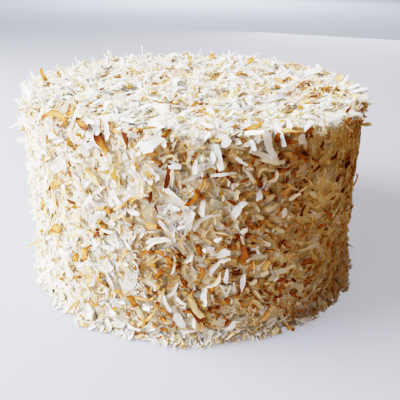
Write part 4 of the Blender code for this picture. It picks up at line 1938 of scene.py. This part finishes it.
@dataclass
class LandmarkFlakes:
    """The flakes that are placed one by one, as two pieces, pale and toasted.

    The higher a flake lifts, the more it is turned towards the window. `strip_calm` is the share of
    the random bends that a broad strip has, and bends and twists are in degrees.
    """

    skin: Skin
    flakes: dict[Pattern, FlakeMesh]
    coat: float = 0.0018
    thickness: float = 0.0004
    ragged: float = 0.23
    bend: float = 20.0
    twist: float = 14.0
    swerve: float = 0.03
    taper: float = 0.2
    tone_swing: float = 0.02
    tip_toast: float = 0.05
    edge_toast: float = 0.07
    edge_swing: float = 0.09
    edge_most: float = 0.2
    strip_calm: float = 0.45
    narrowed: float = 0.84
    window_way: Triple = (-0.82, -0.09, 0.56)
    window_turn: float = 130.0
    root_lift: float = 0.45
    facing: float = 0.55
    tallest: float = 0.1234
    longest: float = 0.0165
    seed: int = 29

    def placed(self, mark: Landmark) -> tuple[Vector, Vector, Vector, float, float]:
        """Works out where one landmark flake lies.

        Args:
            mark: the landmark.

        Returns:
            Its root, the directions along it and up from it, its length and its width.
        """
        normal = self.skin.nearest(mark.root)[1]
        root = self.skin.above(mark.root, self.coat + self.root_lift * mark.lift)
        if self.skin.seen(mark.tip) is None:
            tip = self.skin.off_cake(mark.tip, root, self.tallest)
        else:
            tip = self.skin.above(mark.tip, self.coat + mark.lift)
        if (tip - root).length > self.longest:
            root, tip = self.drawn_in(root, tip)
        along = tip - root
        length = along.length
        along.normalize()
        sight = (Vector(self.skin.camera.place) - root).normalized()
        up = normal + Vector(self.window_way) * self.window_turn * mark.lift + sight * self.facing
        up = (up - along * up.dot(along)).normalized()
        width = self.narrowed * mark.width * self.skin.pixel_across(root, up.cross(along))
        return root, along, up, length, width

    def drawn_in(self, root: Vector, tip: Vector) -> tuple[Vector, Vector]:
        """Shortens a flake that would run too far along the view.

        Its far end is raised along its own line of sight, so that it still looks as long.

        Args:
            root: one end of the flake.
            tip: its other end.

        Returns:
            The near end, and the far end, on its line of sight or as near to it as the length allows.
        """
        camera = Vector(self.skin.camera.place)
        near, far = sorted((root, tip), key=lambda end: (end - camera).length)
        sight = (camera - far).normalized()
        way = far - near
        back = -way.dot(sight)
        aside = way.length_squared - back * back
        raised = back - math.sqrt(max(0.0, self.longest ** 2 - aside))
        room = max(0.0, (self.tallest - far.z) / sight.z)
        way = way + sight * min(max(raised, 0.0), room)
        return near, near + way * min(1.0, self.longest / way.length)

    def spans(self) -> list[tuple[Vector, Vector, float]]:
        """The root, the tip and the width of every landmark flake."""
        found = (self.placed(mark) for mark in LANDMARKS)
        return [(root, root + along * length, width) for root, along, _up, length, width in found]

    def own_numbers(self, mark: Landmark) -> np.ndarray:
        """A landmark's own seven random numbers, which its place alone decides."""
        place = [int(2 * number) for number in (*mark.root, *mark.tip)]
        return np.random.default_rng([self.seed, *place]).standard_normal(7)

    def piece(self, name: str, marks: list[Landmark], finish: CoconutFinish) -> bpy.types.Object:
        """Builds the landmarks of one finish as one piece.

        Args:
            name: the piece's name.
            marks: its landmarks.
            finish: their finish.

        Returns:
            The piece.
        """
        dice = np.random.default_rng(self.seed)
        order = sorted(marks, key=lambda mark: mark.pattern.value)
        count = len(order)
        laid = [self.placed(mark) for mark in order]
        own = np.array([self.own_numbers(mark) for mark in order])
        calm = np.array([self.strip_calm if mark.pattern is Pattern.STRIP else 1.0 for mark in order])
        copies = Copies(
            *(np.array([spot[i] for spot in laid]) for i in range(5)),
            thickness=np.full(count, self.thickness),
            bend=calm * np.radians(self.bend) * own[:, 0],
            twist=calm * np.radians(self.twist) * own[:, 1],
            swerve=np.array([mark.swerve for mark in order]) + self.swerve * own[:, 2],
            taper=calm * self.taper * own[:, 3],
            ragged=calm * self.ragged,
            toast=np.array([mark.tone.value for mark in order]) + self.tone_swing * own[:, 4],
            tip_toast=self.tip_toast * own[:, 5],
            edge_toast=np.clip(self.edge_toast + self.edge_swing * own[:, 6], 0.0, self.edge_most),
        )
        used = sorted({mark.pattern for mark in order}, key=lambda pattern: pattern.value)
        batches = [copies.rows(np.array([mark.pattern is pattern for mark in order])) for pattern in used]
        piece = joined_copies(name, [self.flakes[pattern] for pattern in used], batches, dice)
        piece.data.materials.append(finish.material())
        return piece

    def build(self) -> list[tuple[bpy.types.Object, Slot]]:
        """Builds both pieces.

        Returns:
            Each piece with its slot.
        """
        pale = [mark for mark in LANDMARKS if mark.tone in (Tone.WHITE, Tone.CREAM)]
        toasted = [mark for mark in LANDMARKS if mark not in pale]
        batches = (("landmark_pale", pale, WHITE_FINISH), ("landmark_toasted", toasted, TOASTED_FINISH))
        return [(self.piece(*batch), batch[2].slot) for batch in batches]


@dataclass
class CoconutCake:
    """The whole cake: its frosting and every kind of coconut on it."""

    camera: PhotoCamera
    form: CakeForm = field(default_factory=CakeForm)

    def build(self) -> None:
        """Builds every piece and hands it to the frame."""
        body = Frosting(self.form).model()
        self.hand_over(body)
        skin = Skin(body, self.camera)
        cover = Cover(skin)
        flakes = {pattern: shape.model(pattern.value) for pattern, shape in FLAKE_SHAPES.items()}
        landmarks = LandmarkFlakes(skin, flakes)
        view = ClearView(self.camera, landmarks.spans())
        for kind in KINDS:
            self.hand_over(kind.scatter(self.form, cover, flakes, view))
        for piece, slot in landmarks.build():
            self.hand_over(piece)

    def hand_over(self, piece: bpy.types.Object) -> None:
        """Makes a piece ride on the cake's body and stand for the node, and logs its triangles.

        Args:
            piece: the finished piece.
        """
        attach(piece, BODY)
        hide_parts(NODE)
        piece.data.calc_loop_triangles()
        LOG.info("%s: %d triangles", piece.name, len(piece.data.loop_triangles))


# ---- Stage ----


@dataclass(frozen=True)
class SoftLight:
    """One large soft light, placed round a point that it looks at.

    Its azimuth and elevation are in degrees, from the front towards the cake's right and upwards.
    """

    name: str
    azimuth: float
    elevation: float
    distance: float
    size: float
    power: float
    colour: Triple
    target: Triple = (0.0, 0.0, 0.06)
    spread: float = 180.0

    def build(self) -> None:
        """Adds the light."""
        turn = math.radians(self.azimuth)
        rise = math.radians(self.elevation)
        way = Vector((math.sin(turn) * math.cos(rise), -math.cos(turn) * math.cos(rise), math.sin(rise)))
        data = bpy.data.lights.new(self.name, "AREA")
        data.shape = "DISK"
        data.size = self.size
        data.energy = self.power
        data.color = self.colour
        data.spread = math.radians(self.spread)
        light = bpy.data.objects.new(self.name, data)
        light.location = Vector(self.target) + way * self.distance
        light.rotation_euler = (-way).to_track_quat("-Z", "Y").to_euler()
        bpy.context.scene.collection.objects.link(light)


@dataclass(frozen=True)
class Studio:
    """A plain pale floor under a plain sky, lit softly from all round.

    A window on the left is the strongest light. Weaker lamps fill in from the left, the front, the
    right and the back, warm on the right, and one lights the floor far behind the cake.
    """

    floor_size: float = 16.0
    floor_drop: float = 0.0001
    lights: tuple[SoftLight, ...] = (
        SoftLight("window", -88.0, 34.0, 1.0, 0.75, 52.0, (0.98, 0.99, 1.0)),
        SoftLight("left_fill", -56.0, 8.0, 1.2, 1.0, 12.8, (1.0, 0.99, 1.0)),
        SoftLight("front_fill", -46.0, 22.0, 1.2, 1.0, 1.6, (1.0, 0.84, 0.6)),
        SoftLight("right_fill", 96.0, 16.0, 1.3, 1.2, 1.6, (1.0, 0.53, 0.19)),
        SoftLight("back_fill", 158.0, 14.0, 1.3, 1.0, 7.0, (1.0, 0.95, 0.86)),
        SoftLight(
            "backdrop", 180.0, 84.0, 2.8, 2.6, 90.0, (0.92, 0.95, 1.0), target=(0.0, 3.6, 0.0), spread=76.0,
        ),
    )
    surroundings: Rgba = (0.08, 0.031, 0.002, 1.0)
    sky: Rgba = (0.55, 0.58, 0.66, 1.0)

    def build(self) -> None:
        """Adds the floor, the lights and the plain sky, which lights the cake dimly and warmly."""
        bpy.ops.object.select_all(action="DESELECT")
        bpy.ops.mesh.primitive_plane_add(size=self.floor_size, location=(0.0, 0.0, -self.floor_drop))
        floor = bpy.context.active_object
        floor.name = "floor"
        select_only(floor)
        bpy.ops.object.transform_apply(location=True, rotation=True, scale=True)
        floor.data.materials.append(FloorFinish().material())
        for light in self.lights:
            light.build()
        scene = bpy.context.scene
        scene.world = bpy.data.worlds.new("world")
        scene.world.use_nodes = True
        sheet = NodeSheet(scene.world.node_tree)
        seen = sheet.add("LightPath").outputs["Is Camera Ray"]
        colour = sheet.mix(seen, self.surroundings, self.sky)
        sheet.fill(scene.world.node_tree.nodes["Background"], {"Color": colour, "Strength": 1.0})
        scene.view_settings.view_transform = "Filmic"
        scene.view_settings.look = "High Contrast"


def main() -> None:
    """Loads the frame, then builds the cake and its stage round it."""
    logging.basicConfig(level=logging.INFO, format="%(message)s")
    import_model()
    camera = PhotoCamera()
    camera.build()
    CoconutCake(camera).build()
    Studio().build()


if __name__ == "__main__":
    main()
